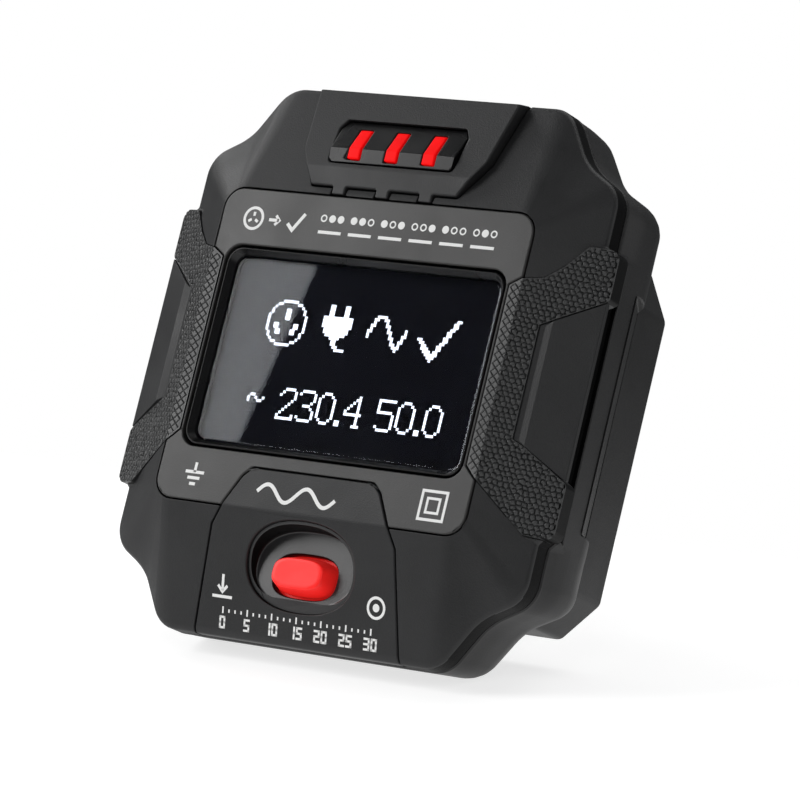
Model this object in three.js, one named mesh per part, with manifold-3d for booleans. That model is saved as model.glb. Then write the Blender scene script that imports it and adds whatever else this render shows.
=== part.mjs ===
// Outlet tester plug: a hand-sized mains socket tester with a three-pin plug on its back.
//
// Drawing frame, in millimetres: X to the viewer's right, Y from the face plate into the
// body, Z up. Y = 0 is the front of the face plate and Z = 0 the middle of the display.
// The finished group is moved so that its origin is the middle of the plug face, the flat
// rear wall that the three pins come out of.

import * as THREE from 'three';
import { mergeVertices } from 'three/addons/utils/BufferGeometryUtils.js';
import Module from 'manifold-3d';

const wasm = await Module();
wasm.setup();

// ---------------------------------------------------------------- driving dimensions

const GAP = 0.3;                 // between two pieces that sit against each other
const WALL = 2.2;                // casing wall

const HALF_WIDTH = 36;           // casing, at the side pads
const HALF_HEIGHT = 40.1;        // casing
const HOUSING_Z = -0.1;          // casing centre, below the display centre
const SHOULDER_X = 34.9;         // casing half width above and below the side pads
const PAD_Z = 20;                // half height of the side pads

const PLATE_HALF_X = 26.2;       // face plate
const PLATE_HALF_Z = 22.85;
const PLATE_Z = 0.25;
const PLATE_R = 3;
const PLATE_T = 1.5;

const RIM_Y = 5.9;               // front edge of the casing's side wall
const GROOVE_X = 35;             // floor of the dark groove between the side pads of the two halves
const GROOVE_Y = [6.6, 9.9];     // front and back of that groove
const GROOVE_Z = [-20, 19.9];    // its ends
const PARTING_Y = 8.55;          // joint between the two casing halves
const CORNER_FULL_Y = 12.5;      // the rear corners reach their full width here
const REAR_ROUND_Y = 15.5;       // start of the rounded rear edge
const BACK_Y = 20;               // back of the casing, around the plug boss
const PLUG_FACE_Y = 28.4;        // rear wall of the plug boss, where the pins come out
const PLUG_Z = -4;               // plug centre, below the display centre

const BOARD_Y = 12.2;            // front of the circuit board
const BOARD_T = 1.6;

const TAB_LAYER = 1;             // thickness of the indicator cover under the casing's form
const INLAY_X = 37;              // outer edge of the smooth inlays in the side grips
const GRIP_LAYER = 0.9;          // the same, of the side grips
const POCKET = GAP;              // extra depth of a pocket behind the piece that lies in it
const INSERT_BACK_Y = 5;         // back of the indicator insert
const PIPE_BACK_Y = 5.6;         // back of the light pipes, in front of the LEDs
const LED_Z = 31.2;              // height of the row of LEDs

const WELL_Z = -29.5;            // oval well that the button stands in
const WELL = [9.4, 6.4];         // its half width and half height
const WELL_FLOOR_Y = 4;
const COLLAR_BACK_Y = 5.2;
const BUTTON_Z = -30.5;
const BUTTON = [5.1, 3.05];      // half width and half height at the well floor
const BUTTON_FACE_Y = 1.75;
const BUTTON_POWER = 3;          // how square its oval is
const BUTTON_TRAVEL = 1.2;
const SWITCH_TIP_Y = 8.1;        // front of the switch plunger, under the button's stem

const PIN_OUT = 18;              // live and neutral pins, out of the plug face
const EARTH_OUT = 21;
const PIN_W = 6.4;
const PIN_T = 1.6;
const PIN_CIRCLE = 7.92;         // live and neutral, from the plug centre
const EARTH_RISE = 10.3;         // earth, above the plug centre
const PIN_TAIL_Y = 19.2;         // inner end of the pins

const CASE_SCREWS = [[-20.5, 32.6], [20.5, 32.6], [-20.5, -33.8], [20.5, -33.8]];
const CASE_PILOT_R = 1.6;        // screw hole in the front cover's pillars
const HEAD_BORE_R = 2.8;         // bore for the screw heads, in the back of the rear cover
const HEAD_SEAT_Y = 17;
const FRONT_PILLAR_R = 2.7;
const REAR_PILLAR_R = 3.4;
const CARRIER_SCREWS = [[-8.6, PLUG_Z + 4.5], [8.6, PLUG_Z + 4.5]];
const CARRIER_PILOT_R = 1.4;

// ---------------------------------------------------------------- materials

const shades = {
  casing: [0x323436, 0.62, 0],
  plate: [0x3a3b3c, 0.55, 0],
  insert: [0x101112, 0.35, 0],
  grip: [0x2b2d2f, 0.85, 0],
  red: [0xf0201c, 0.35, 0],
  bezel: [0x1c1e20, 0.4, 0],
  window: [0x05070c, 0.05, 0],
  display: [0x0a0c14, 0.3, 0],
  board: [0x155c35, 0.5, 0],
  dark_part: [0x191919, 0.5, 0],
  ceramic: [0xd8d4c8, 0.8, 0],
  film: [0xc89a1e, 0.5, 0],
  sleeve: [0x1f2e55, 0.4, 0],
  ribbon: [0xb8742c, 0.4, 0],
  nickel: [0xc9c6bd, 0.28, 1],
  steel: [0x8d8f92, 0.35, 1],
  carrier: [0x202122, 0.6, 0],
  brown_wire: [0x5b3218, 0.5, 0],
  blue_wire: [0x1c4fa0, 0.5, 0],
  green_wire: [0x2f8a3a, 0.5, 0],
};

function shade(name) {
  const [color, roughness, metalness] = shades[name];
  return new THREE.MeshStandardMaterial({ color, roughness, metalness });
}

// ---------------------------------------------------------------- outlines in X and Z

function roundedOutline(corners, steps = 4) {
  const points = [];
  corners.forEach(([x, z, radius], i) => {
    const corner = new THREE.Vector2(x, z);
    if (!radius) {
      points.push(corner);
      return;
    }
    const before = corners[(i + corners.length - 1) % corners.length];
    const after = corners[(i + 1) % corners.length];
    const back = new THREE.Vector2(before[0] - x, before[1] - z).normalize();
    const ahead = new THREE.Vector2(after[0] - x, after[1] - z).normalize();
    const half = back.angleTo(ahead) / 2;
    const middle = back.clone().add(ahead).normalize();
    const centre = corner.clone().addScaledVector(middle, radius / Math.sin(half));
    const start = corner.clone().addScaledVector(back, radius / Math.tan(half)).sub(centre).angle();
    const end = corner.clone().addScaledVector(ahead, radius / Math.tan(half)).sub(centre).angle();
    const turn = Math.atan2(Math.sin(end - start), Math.cos(end - start));
    for (let k = 0; k <= steps; k += 1) {
      const a = start + (turn * k) / steps;
      points.push(new THREE.Vector2(centre.x + radius * Math.cos(a), centre.y + radius * Math.sin(a)));
    }
  });
  return points;
}

function mirrored(rightSide) {
  return [...rightSide, ...rightSide.map(([x, z, r]) => [-x, z, r]).reverse()];
}

function roundedBox(halfX, halfZ, radius, centreZ = 0, steps = 4) {
  const right = [[halfX, centreZ - halfZ, radius], [halfX, centreZ + halfZ, radius]];
  return roundedOutline(mirrored(right), steps);
}

function oval(halfX, halfZ, centreZ, sides = 28, power = 2.3) {
  const points = [];
  for (let i = 0; i < sides; i += 1) {
    const a = (2 * Math.PI * i) / sides;
    const x = Math.sign(Math.cos(a)) * Math.abs(Math.cos(a)) ** (2 / power);
    const z = Math.sign(Math.sin(a)) * Math.abs(Math.sin(a)) ** (2 / power);
    points.push(new THREE.Vector2(halfX * x, centreZ + halfZ * z));
  }
  return points;
}

// Moves every side of an outline inwards by the same distance.
function inset(points, distance) {
  return points.map((point, i) => {
    const before = points[(i + points.length - 1) % points.length];
    const after = points[(i + 1) % points.length];
    const a = point.clone().sub(before).normalize();
    const b = after.clone().sub(point).normalize();
    const normal = new THREE.Vector2(-a.y - b.y, a.x + b.x).normalize();
    const mitre = Math.max(0.5, normal.dot(new THREE.Vector2(-a.y, a.x)));
    return point.clone().addScaledVector(normal, distance / mitre);
  });
}

// The casing seen from the front: an octagon whose corners are a little hollow. Its shoulders,
// above and below the side pads, are set in at the front and as wide as the pads at the rear.
function casingOutline(shoulderX, shoulderZ, hollow, topX) {
  const quarter = [
    [HALF_WIDTH, PAD_Z, 0],
    [shoulderX, PAD_Z + 1.1, 0],
    [shoulderX, shoulderZ, 4.5],
    hollow,
    [topX, HALF_HEIGHT, 4.5],
  ];
  const upper = mirrored(quarter);
  const lower = upper.map(([x, z, r]) => [-x, -z, r]);
  const corners = [...upper, ...lower];
  return roundedOutline(corners).map((p) => new THREE.Vector2(p.x, p.y + HOUSING_Z));
}

const frontOutline = casingOutline(SHOULDER_X, 28.9, [28.6, 32.4, 9], 23.8);
const rearOutline = casingOutline(HALF_WIDTH - 0.05, 28.7, [29.2, 32.3, 9], 24.3);
const plateOutline = roundedBox(PLATE_HALF_X, PLATE_HALF_Z, PLATE_R, PLATE_Z);

// The point of the face plate's edge that each point of the casing outline slopes up to: the
// corner points fan out from the rounded corners of the plate.
const plateFan = frontOutline.map((point, i) => {
  const perQuarter = frontOutline.length / 4;
  const quarter = Math.floor(i / perQuarter);
  const step = i % perQuarter;
  const forward = quarter % 2 === 0 ? step : perQuarter - 1 - step;
  const turn = THREE.MathUtils.clamp((forward - 2) / (perQuarter - 3), 0, 1) * (Math.PI / 2);
  const x = PLATE_HALF_X - PLATE_R + PLATE_R * Math.cos(turn);
  const z = PLATE_HALF_Z - PLATE_R + PLATE_R * Math.sin(turn) - (forward < 2 ? 1.2 * (2 - forward) : 0);
  return new THREE.Vector2(Math.sign(point.x) * x, Math.sign(point.y) * z + PLATE_Z);
});

function blend(from, to, t) {
  return from.map((point, i) => point.clone().lerp(to[i], t));
}

const tabOutline = mirrored([[12.3, 24.6, 0], [15.5, 30.0, 0], [17.2, 41, 0]]);
const panelOutline = mirrored([[17.5, -41.5, 0], [15.5, -25.4, 0], [11.6, -18.2, 1.2], [10.2, -16.9, 1.2]]);
const bossOutline = mirrored([[28, -30.2, 1.5], [33, -24.6, 1.5], [33, 16.5, 2], [28.5, 24, 2]]);
const gripCorners = [
  [24.4, -12.6, 0], [25.7, -13.9, 0], [33.3, -20.5, 0], [37.2, -20.5, 0], [37.2, -12.6, 0],
  [31.4, -8.9, 0], [29.5, -8.0, 0], [29.5, 8.2, 0], [31.4, 9.5, 0], [37.2, 13.4, 0],
  [37.2, 20.6, 0], [33.3, 20.2, 0], [31.0, 16.9, 0], [28.8, 14.7, 0], [26.2, 14.0, 0], [24.4, 12.9, 0],
];
const inlayCorners = [
  [29.8, -7.8, 0], [INLAY_X, -12.2, 0], [INLAY_X, 13.1, 0], [29.8, 8.0, 0],
];

// ---------------------------------------------------------------- solids

function closed(positions, index) {
  const geometry = new THREE.BufferGeometry();
  geometry.setAttribute('position', new THREE.Float32BufferAttribute(positions, 3));
  geometry.setIndex(index);
  return geometry;
}

// A solid through outlines of equal length, each at its own depth, front to back.
function loft(sections) {
  const positions = [];
  const index = [];
  const count = sections[0].points.length;
  for (const { points, y } of sections) {
    for (const point of points) positions.push(point.x, y, point.y);
  }
  for (let s = 0; s + 1 < sections.length; s += 1) {
    for (let i = 0; i < count; i += 1) {
      const near = s * count + i;
      const nearNext = s * count + ((i + 1) % count);
      index.push(near, near + count, nearNext, nearNext, near + count, nearNext + count);
    }
  }
  const last = (sections.length - 1) * count;
  for (const [a, b, c] of THREE.ShapeUtils.triangulateShape(sections[0].points, [])) {
    index.push(a, b, c);
  }
  for (const [a, b, c] of THREE.ShapeUtils.triangulateShape(sections.at(-1).points, [])) {
    index.push(last + a, last + c, last + b);
  }
  return closed(positions, index);
}

// A plate cut from an outline, from depth y0 to y1.
function prism(points, y0, y1) {
  const shape = new THREE.Shape(points);
  const geometry = new THREE.ExtrudeGeometry(shape, { depth: y1 - y0, bevelEnabled: false, steps: 1 });
  return geometry.translate(0, 0, -y1).rotateX(Math.PI / 2);
}

// A bar along X, from a section given in depth and height.
function barAlongX(section, x0, x1) {
  const shape = new THREE.Shape(section.map(([y, z]) => new THREE.Vector2(y, z)));
  const geometry = new THREE.ExtrudeGeometry(shape, { depth: x1 - x0, bevelEnabled: false, steps: 1 });
  const turn = new THREE.Matrix4().set(0, 0, 1, x0, 1, 0, 0, 0, 0, 1, 0, 0, 0, 0, 0, 1);
  return geometry.applyMatrix4(turn);
}

// A bar along Z, from a section given in width and depth.
function barAlongZ(section, z0, z1) {
  const shape = new THREE.Shape(section.map(([x, y]) => new THREE.Vector2(x, y)));
  const geometry = new THREE.ExtrudeGeometry(shape, { depth: z1 - z0, bevelEnabled: false, steps: 1 });
  return geometry.translate(0, 0, z0);
}

// A turned piece with its axis along Y: pairs of radius and depth, front to back.
function turned(profile, x, z, sides = 16) {
  const points = profile.map(([r, y]) => new THREE.Vector2(r, y));
  return new THREE.LatheGeometry(points, sides).translate(x, 0, z);
}

function block(x0, x1, y0, y1, z0, z1) {
  const geometry = new THREE.BoxGeometry(x1 - x0, y1 - y0, z1 - z0);
  return geometry.translate((x0 + x1) / 2, (y0 + y1) / 2, (z0 + z1) / 2);
}

function moved(geometry, x, y, z) {
  return geometry.clone().translate(x, y, z);
}

function toManifold(geometry) {
  const bare = geometry.clone();
  bare.deleteAttribute('normal');
  bare.deleteAttribute('uv');
  const merged = mergeVertices(bare, 1e-4);
  const mesh = new wasm.Mesh({
    numProp: 3,
    vertProperties: new Float32Array(merged.getAttribute('position').array),
    triVerts: new Uint32Array(merged.index.array),
  });
  return new wasm.Manifold(mesh);
}

function fromManifold(manifold) {
  const mesh = manifold.getMesh();
  return closed(Array.from(mesh.vertProperties), Array.from(mesh.triVerts));
}

function cut(body, ...tools) {
  return fromManifold(tools.reduce((solid, tool) => solid.subtract(toManifold(tool)), toManifold(body)));
}

function join(body, ...others) {
  return fromManifold(others.reduce((solid, other) => solid.add(toManifold(other)), toManifold(body)));
}

function common(body, ...others) {
  return fromManifold(others.reduce((solid, other) => solid.intersect(toManifold(other)), toManifold(body)));
}

// ---------------------------------------------------------------- the casing's own form

// The faceted front: flat over the face plate, sloping back to the rim all round.
const slopeRings = [
  { points: plateFan, y: 0 },
  { points: blend(plateFan, frontOutline, 0.955), y: 5.2 },
  { points: frontOutline, y: RIM_Y },
];

const frontForm = loft([...slopeRings, { points: frontOutline, y: 30 }]);

function formBehind(depth) {
  return moved(frontForm, 0, depth, 0);
}

// What lies between the front surface and a depth behind it, inside an outline.
function layer(points, depth, front = -2) {
  return cut(prism(points, front, 20), formBehind(depth));
}

function points2(corners) {
  return corners.map(([x, z]) => new THREE.Vector2(x, z));
}

function mirrorX(corners) {
  return corners.map(([x, z, r]) => [-x, z, r]).reverse();
}

function sidePair(corners) {
  return [roundedOutline(corners), roundedOutline(mirrorX(corners))];
}

const teeth = [-7.4, 0, 7.3].map((x) => [
  new THREE.Vector2(x - 1.1, 23.4), new THREE.Vector2(x + 1.1, 23.4),
  new THREE.Vector2(x + 1.1, 26), new THREE.Vector2(x - 1.1, 26),
]);

const insertHalfX = 10.6;
const insertHole = [
  [insertHalfX - 0.5, 28.0, 0], [insertHalfX, 28.5, 0], [insertHalfX + 0.3, 33.6, 0], [insertHalfX - 0.6, 35.0, 0],
];
const pipeX = [-6.3, 0, 6.3];
const wellPoints = oval(...WELL, WELL_Z);

// ---------------------------------------------------------------- pieces

const group = new THREE.Group();
const casing = new THREE.Group();
casing.position.set(0, -PLUG_FACE_Y, -PLUG_Z);
group.add(casing);

function piece(name, material, geometry) {
  const mesh = new THREE.Mesh(geometry, shade(material));
  mesh.name = name;
  casing.add(mesh);
}

function sideGrooves() {
  return [1, -1].map((side) => {
    const [front, back] = GROOVE_Y;
    const section = [[GROOVE_X, front], [40, front], [40, back], [GROOVE_X, back]];
    return barAlongZ(section.map(([x, y]) => [side * x, y]), ...GROOVE_Z);
  });
}

function frontCover() {
  const shell = loft([
    ...slopeRings,
    { points: frontOutline, y: PARTING_Y - GAP / 2 },
  ]);
  const hollow = loft([
    { points: inset(plateFan, 1), y: 2.7 },
    { points: inset(frontOutline, WALL), y: 7.2 },
    { points: inset(frontOutline, WALL), y: PARTING_Y + 1 },
  ]);
  const ledge = [[29.8, 2.2], [31.4, 2.2], [INLAY_X, 5.55], [INLAY_X, 6.3], [29.8, 4.4]];
  const inlays = [1, -1].map((side) => {
    const section = ledge.map(([x, y]) => [side * x, y]);
    const bar = barAlongZ(section, -14, 14);
    return common(bar, prism(roundedOutline(side > 0 ? inlayCorners : mirrorX(inlayCorners)), 0, 8));
  });
  const pillarEnd = PARTING_Y - GAP / 2;
  const pillars = CASE_SCREWS.map(([x, z]) => turned(
    [[0, 4.6], [FRONT_PILLAR_R, 4.6], [FRONT_PILLAR_R, pillarEnd], [0, pillarEnd]], x, z));
  const pilots = CASE_SCREWS.map(([x, z]) => turned(
    [[0, 5.4], [CASE_PILOT_R, 5.4], [CASE_PILOT_R, 9], [0, 9]], x, z, 12));
  const pillarRoom = formBehind(PLATE_T);
  const pockets = [
    prism(inset(plateOutline, -GAP), -2, PLATE_T + POCKET),
    layer(inset(roundedOutline(panelOutline), -GAP), PLATE_T + POCKET),
    layer(inset(points2(tabOutline), -GAP), TAB_LAYER + POCKET),
    ...teeth.map((tooth) => layer(inset(tooth, -GAP), TAB_LAYER + POCKET)),
    ...sidePair(gripCorners).map((outline) => layer(inset(outline, -GAP), GRIP_LAYER + POCKET)),
    ...sideGrooves(),
    prism(roundedBox(24.1, 15.1, 2.6), -2, 12),
    prism(inset(roundedOutline(mirrored(insertHole)), -GAP), -2, 12),
    prism(wellPoints, -2, 14),
  ];
  const open = cut(join(shell, ...inlays), hollow, ...pockets);
  return cut(join(open, ...pillars.map((pillar) => common(pillar, pillarRoom))), ...pilots);
}

function rearCover() {
  const shell = loft([
    { points: frontOutline, y: PARTING_Y + GAP / 2 },
    { points: frontOutline, y: PARTING_Y + 0.8 },
    { points: rearOutline, y: CORNER_FULL_Y },
    { points: rearOutline, y: REAR_ROUND_Y },
    { points: inset(rearOutline, 0.9), y: 18 },
    { points: inset(rearOutline, 2), y: 19.4 },
    { points: inset(rearOutline, 3.2), y: BACK_Y },
  ]);
  const outline = roundedOutline(bossOutline);
  const boss = loft([
    { points: outline, y: 18.5 },
    { points: outline, y: PLUG_FACE_Y - 0.7 },
    { points: inset(outline, 0.7), y: PLUG_FACE_Y },
  ]);
  const sideCuts = [1, -1].map((side) => {
    const section = [[35.9, 13.9], [40, 13.9], [40, 21], [33.3, 21], [33.3, 19.5]].map(([x, y]) => [side * x, y]);
    const bar = barAlongZ(section, -22, 22);
    const ends = [[30, -19.5, 0], [42, -15.5, 0], [42, 18.5, 0], [30, 14.5, 0]];
    return common(bar, prism(roundedOutline(side > 0 ? ends : mirrorX(ends)), 10, 24));
  });
  const hollow = loft([
    { points: inset(frontOutline, WALL), y: PARTING_Y - 1 },
    { points: inset(frontOutline, WALL), y: REAR_ROUND_Y },
    { points: inset(frontOutline, WALL + 1.9), y: BACK_Y - WALL },
  ]);
  const bossHollow = prism(inset(points2(bossOutline), WALL), 15, PLUG_FACE_Y - WALL);
  const pillarStart = PARTING_Y + GAP / 2;
  const pillars = CASE_SCREWS.map(([x, z]) => turned(
    [[0, pillarStart], [REAR_PILLAR_R, pillarStart], [REAR_PILLAR_R, 19], [0, 19]], x, z));
  const bores = CASE_SCREWS.map(([x, z]) => turned([[0, 7], [CASE_PILOT_R, 7], [CASE_PILOT_R, HEAD_SEAT_Y],
    [HEAD_BORE_R, HEAD_SEAT_Y], [HEAD_BORE_R, 22], [0, 22]], x, z));
  const slots = pinPlaces.map((pin) => placedPin(block(-PIN_T / 2 - GAP, PIN_T / 2 + GAP, 22, 32,
    -PIN_W / 2 - GAP, PIN_W / 2 + GAP), pin));
  const threads = CARRIER_SCREWS.map(([x, z]) => turned(
    [[0, 25], [CARRIER_PILOT_R, 25], [CARRIER_PILOT_R, 27.5], [0, 27.5]], x, z, 12));
  const open = cut(join(cut(shell, ...sideCuts, ...sideGrooves()), boss), hollow, bossHollow);
  return cut(join(open, ...pillars), ...bores, ...slots, ...threads);
}

function facePlate() {
  const plate = prism(plateOutline, 0, PLATE_T);
  const window = prism(roundedBox(23.84, 14.88, 2.5), -1, 3);
  const panelRoom = prism(inset(roundedOutline(panelOutline), -GAP), -1, 3);
  const gripRoom = sidePair(gripCorners).map((outline) => prism(inset(outline, -0.2), -1, 3));
  return cut(plate, window, panelRoom, ...gripRoom);
}

function displayBezel() {
  const frame = loft([
    { points: roundedBox(23.5, 14.55, 2.4), y: 0.15 },
    { points: roundedBox(23.5, 14.55, 2.4), y: 3 },
  ]);
  const opening = loft([
    { points: roundedBox(23.4, 14.45, 2.3), y: 0 },
    { points: roundedBox(22.6, 13.7, 1.8), y: 1.2 },
    { points: roundedBox(22.6, 13.7, 1.8), y: 4 },
  ]);
  return cut(frame, opening);
}

function indicatorCover() {
  const top = HALF_HEIGHT + HOUSING_Z;
  const front = [[0, 23], [0, 27.3], [3.3, top - 0.5], [RIM_Y - 0.15, top], [12, top], [12, 23]];
  const plan = join(prism(points2(tabOutline), -1, 11), ...teeth.map((tooth) => prism(tooth, -1, 11)));
  const body = cut(common(barAlongX(front, -20, 20), plan), formBehind(TAB_LAYER));
  return cut(body, prism(roundedOutline(mirrored(insertHole)), -2, 12));
}

const pipeSection = [[-0.05, 28.75], [-0.05, 30.35], [1.8, 33.5], [PIPE_BACK_Y, 33.5], [PIPE_BACK_Y, 28.75]];

function indicatorInsert() {
  const section = [[0.1, 27.8], [0.1, 30.3], [2.8, 35.2], [INSERT_BACK_Y, 35.2], [INSERT_BACK_Y, 27.8]];
  const wedge = barAlongX(section, -12, 12);
  const outline = inset(roundedOutline(mirrored(insertHole)), GAP);
  const slots = pipeX.map((x) => block(x - 1.2, x + 1.2, -2, 8, 28.5, 33.75));
  return cut(common(wedge, prism(outline, -2, 8)), ...slots);
}

function sideGrip(side) {
  const section = [[24, -0.05], [26.3, -0.05], [37.2, 5.6], [37.2, 6.3], [36.7, 6.9], [24, 6.9]];
  const outline = side > 0 ? roundedOutline(gripCorners) : roundedOutline(mirrorX(gripCorners));
  const pad = barAlongZ(section.map(([x, y]) => [side * x, y]), -21, 21);
  return cut(common(pad, prism(outline, -2, 9)), formBehind(GRIP_LAYER));
}

function buttonPanel() {
  const slab = cut(common(prism(roundedOutline(panelOutline), -1, 12), frontForm), formBehind(PLATE_T));
  return cut(slab, prism(wellPoints, -2, 14));
}

function buttonOval(grow) {
  return oval(BUTTON[0] + grow, BUTTON[1] + grow, BUTTON_Z, 28, BUTTON_POWER);
}

function buttonCollar() {
  const rim = oval(WELL[0] - GAP, WELL[1] - GAP, WELL_Z);
  const outer = common(prism(rim, -2, COLLAR_BACK_Y), formBehind(0.5));
  const bowl = loft([
    { points: oval(WELL[0] - 0.6, WELL[1] - 0.6, WELL_Z), y: -3 },
    { points: oval(WELL[0] - 0.9, WELL[1] - 0.95, WELL_Z), y: WELL_FLOOR_Y },
  ]);
  return cut(outer, bowl, prism(buttonOval(0.35), WELL_FLOOR_Y - 1, COLLAR_BACK_Y + 1));
}

function testButton() {
  const flangeY = COLLAR_BACK_Y + GAP;
  const cap = loft([
    { points: buttonOval(-1.15), y: BUTTON_FACE_Y },
    { points: buttonOval(-0.7), y: BUTTON_FACE_Y + 0.25 },
    { points: buttonOval(0), y: WELL_FLOOR_Y },
    { points: buttonOval(0), y: flangeY + 0.2 },
  ]);
  const flange = prism(buttonOval(1.3), flangeY, flangeY + 0.8);
  const stemEnd = SWITCH_TIP_Y - GAP;
  const stem = turned([[0, flangeY], [1.5, flangeY], [1.5, stemEnd], [0, stemEnd]], 0, BUTTON_Z);
  return join(cap, flange, stem);
}

function switchBody() {
  const front = SWITCH_TIP_Y + BUTTON_TRAVEL + 0.1;
  const body = block(-2.9, 2.9, front, BOARD_Y - 0.1, BUTTON_Z - 2.9, BUTTON_Z + 2.9);
  return cut(body, turned([[0, front - 1], [1.7, front - 1], [1.7, 11.7], [0, 11.7]], 0, BUTTON_Z));
}

function switchPlunger() {
  const tip = SWITCH_TIP_Y;
  return turned([[0, tip], [1.2, tip], [1.4, tip + 0.2], [1.4, tip + 2.1], [0, tip + 2.1]], 0, BUTTON_Z);
}

function mainBoard() {
  const outline = inset(frontOutline, WALL + 1.2);
  const holes = CASE_SCREWS.map(([x, z]) => turned([[0, 10], [3.9, 10], [3.9, 16], [0, 16]], x, z));
  return cut(prism(outline, BOARD_Y, BOARD_Y + BOARD_T), ...holes);
}

function led(x) {
  const lens = turned([[0, 5.9], [0.8, 6.1], [1.3, 6.6], [1.5, 7.4], [1.5, 9.2], [1.9, 9.2], [1.9, 9.9], [0, 9.9]],
    x, LED_Z, 12);
  const leads = [-0.9, 0.9].map((dx) => block(x + dx - 0.25, x + dx + 0.25, 9.6, BOARD_Y - 0.1,
    LED_Z - 0.25, LED_Z + 0.25));
  return join(lens, ...leads);
}

// ---------------------------------------------------------------- plug pins

const pinPlaces = [
  { name: 'neutral_pin', x: -PIN_CIRCLE * Math.cos(Math.PI / 6), z: -PIN_CIRCLE / 2, turn: -Math.PI / 6, out: PIN_OUT },
  { name: 'live_pin', x: PIN_CIRCLE * Math.cos(Math.PI / 6), z: -PIN_CIRCLE / 2, turn: Math.PI / 6, out: PIN_OUT },
  { name: 'earth_pin', x: 0, z: EARTH_RISE, turn: 0, out: EARTH_OUT },
];

// Turns a piece drawn at the plug centre, long side upright, onto its pin's place.
function placedPin(geometry, { x, z, turn }) {
  return geometry.rotateY(turn).translate(x, 0, z + PLUG_Z);
}

function plugPin(pin) {
  const tip = PLUG_FACE_Y + pin.out;
  const half = PIN_W / 2;
  const side = [
    [PIN_TAIL_Y, -1.6], [21.5, -1.6], [21.5, -half], [tip - 1.6, -half], [tip, -half + 1.4],
    [tip, half - 1.4], [tip - 1.6, half], [21.5, half], [21.5, 1.6], [PIN_TAIL_Y, 1.6],
  ];
  return placedPin(barAlongX(side, -PIN_T / 2, PIN_T / 2), pin);
}

function pinCarrier() {
  const outline = roundedOutline(mirrored([[12.5, PLUG_Z - 9, 3], [12.5, PLUG_Z + 2, 3], [5, PLUG_Z + 15.6, 2]]));
  const plate = prism(outline, 22.4, PLUG_FACE_Y - WALL - GAP);
  const slots = pinPlaces.map((pin) => placedPin(block(-PIN_T / 2 - 0.15, PIN_T / 2 + 0.15, 20, 30,
    -PIN_W / 2 - 0.15, PIN_W / 2 + 0.15), pin));
  const holes = CARRIER_SCREWS.map(([x, z]) => turned(
    [[0, 20], [CARRIER_PILOT_R, 20], [CARRIER_PILOT_R, 30], [0, 30]], x, z, 12));
  return cut(plate, ...slots, ...holes);
}

function wire(points) {
  const path = new THREE.CatmullRomCurve3(points.map(([x, y, z]) => new THREE.Vector3(x, y, z)));
  const section = new THREE.Shape(oval(0.75, 0.75, 0, 8, 2));
  return new THREE.ExtrudeGeometry(section, { steps: 10, bevelEnabled: false, extrudePath: path });
}

function caseScrew([x, z]) {
  const profile = [[0, 6], [1.3, 6.4], [1.3, 17.3], [2.4, 17.3], [2.4, 18.4], [1.6, 19], [0, 19]];
  const driver = [[0.28, 1.5], [1.5, 0.28]].map(([a, b]) => block(x - a, x + a, 18.2, 20, z - b, z + b));
  return cut(turned(profile, x, z, 20), ...driver);
}

function carrierScrew([x, z]) {
  return turned([[0, 20.9], [1.6, 20.9], [2, 21.4], [2, 22.1], [1.1, 22.1], [1.1, 27], [0, 27.2]], x, z, 14);
}

// ---------------------------------------------------------------- assembly

piece('front_cover', 'casing', frontCover());
piece('rear_cover', 'casing', rearCover());
piece('face_plate', 'plate', facePlate());
piece('display_bezel', 'bezel', displayBezel());
piece('display_window', 'window', prism(roundedBox(22.3, 13.4, 1.6), 1.3, 2.3));
piece('display_module', 'display', prism(roundedBox(23, 15.2, 0.8), 3.3, 6.1));
piece('display_cable', 'ribbon', barAlongX(
  [[6.4, -6], [6.4, -12], [7, -13], [11.7, -13.6], [11.9, -14], [11.9, -16], [12.05, -16], [12.05, -13.4],
    [7.2, -12.7], [6.65, -12], [6.65, -6]].reverse(), -8, 8));
piece('indicator_cover', 'casing', indicatorCover());
piece('indicator_insert', 'insert', indicatorInsert());
['left', 'centre', 'right'].forEach((where, i) => {
  piece(`light_pipe_${where}`, 'red', barAlongX(pipeSection, pipeX[i] - 1, pipeX[i] + 1));
  piece(`led_${where}`, 'red', led(pipeX[i]));
});
piece('grip_left', 'grip', sideGrip(-1));
piece('grip_right', 'grip', sideGrip(1));
piece('button_panel', 'casing', buttonPanel());
piece('button_collar', 'plate', buttonCollar());
piece('test_button', 'red', testButton());
piece('switch_body', 'dark_part', switchBody());
piece('switch_plunger', 'dark_part', switchPlunger());
piece('main_board', 'board', mainBoard());
piece('controller_chip', 'dark_part', block(-6, 6, 10.8, BOARD_Y - 0.1, -2, 10));
piece('load_resistor', 'ceramic', block(-20, 2, 14, 20.4, 12.6, 19));
piece('film_capacitor', 'film', block(15.5, 21.5, 14, 24, -20, -4));
piece('electrolytic_capacitor', 'sleeve', turned([[0, 14], [3.6, 14], [4, 14.4], [4, 23.6], [3.6, 24], [0, 24]], -22, -8));
piece('test_relay', 'dark_part', block(6, 25, 14, 22, 8.5, 18));
piece('fuse', 'ceramic', barAlongZ(oval(1.8, 1.8, 15.9, 12, 2).map((p) => [p.x - 26, p.y]), 2, 13));
piece('pin_carrier', 'carrier', pinCarrier());
for (const pin of pinPlaces) piece(pin.name, 'nickel', plugPin(pin));
CARRIER_SCREWS.forEach((place, i) => piece(`carrier_screw_${i + 1}`, 'steel', carrierScrew(place)));
CASE_SCREWS.forEach((place, i) => piece(`case_screw_${i + 1}`, 'steel', caseScrew(place)));
const wireEnds = [
  ['live_wire', 'brown_wire', 8, -9.5, 11, -14],
  ['neutral_wire', 'blue_wire', -8, -9.5, -11, -14],
  ['earth_wire', 'green_wire', 0, 4.6, 0, -1],
];
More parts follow.
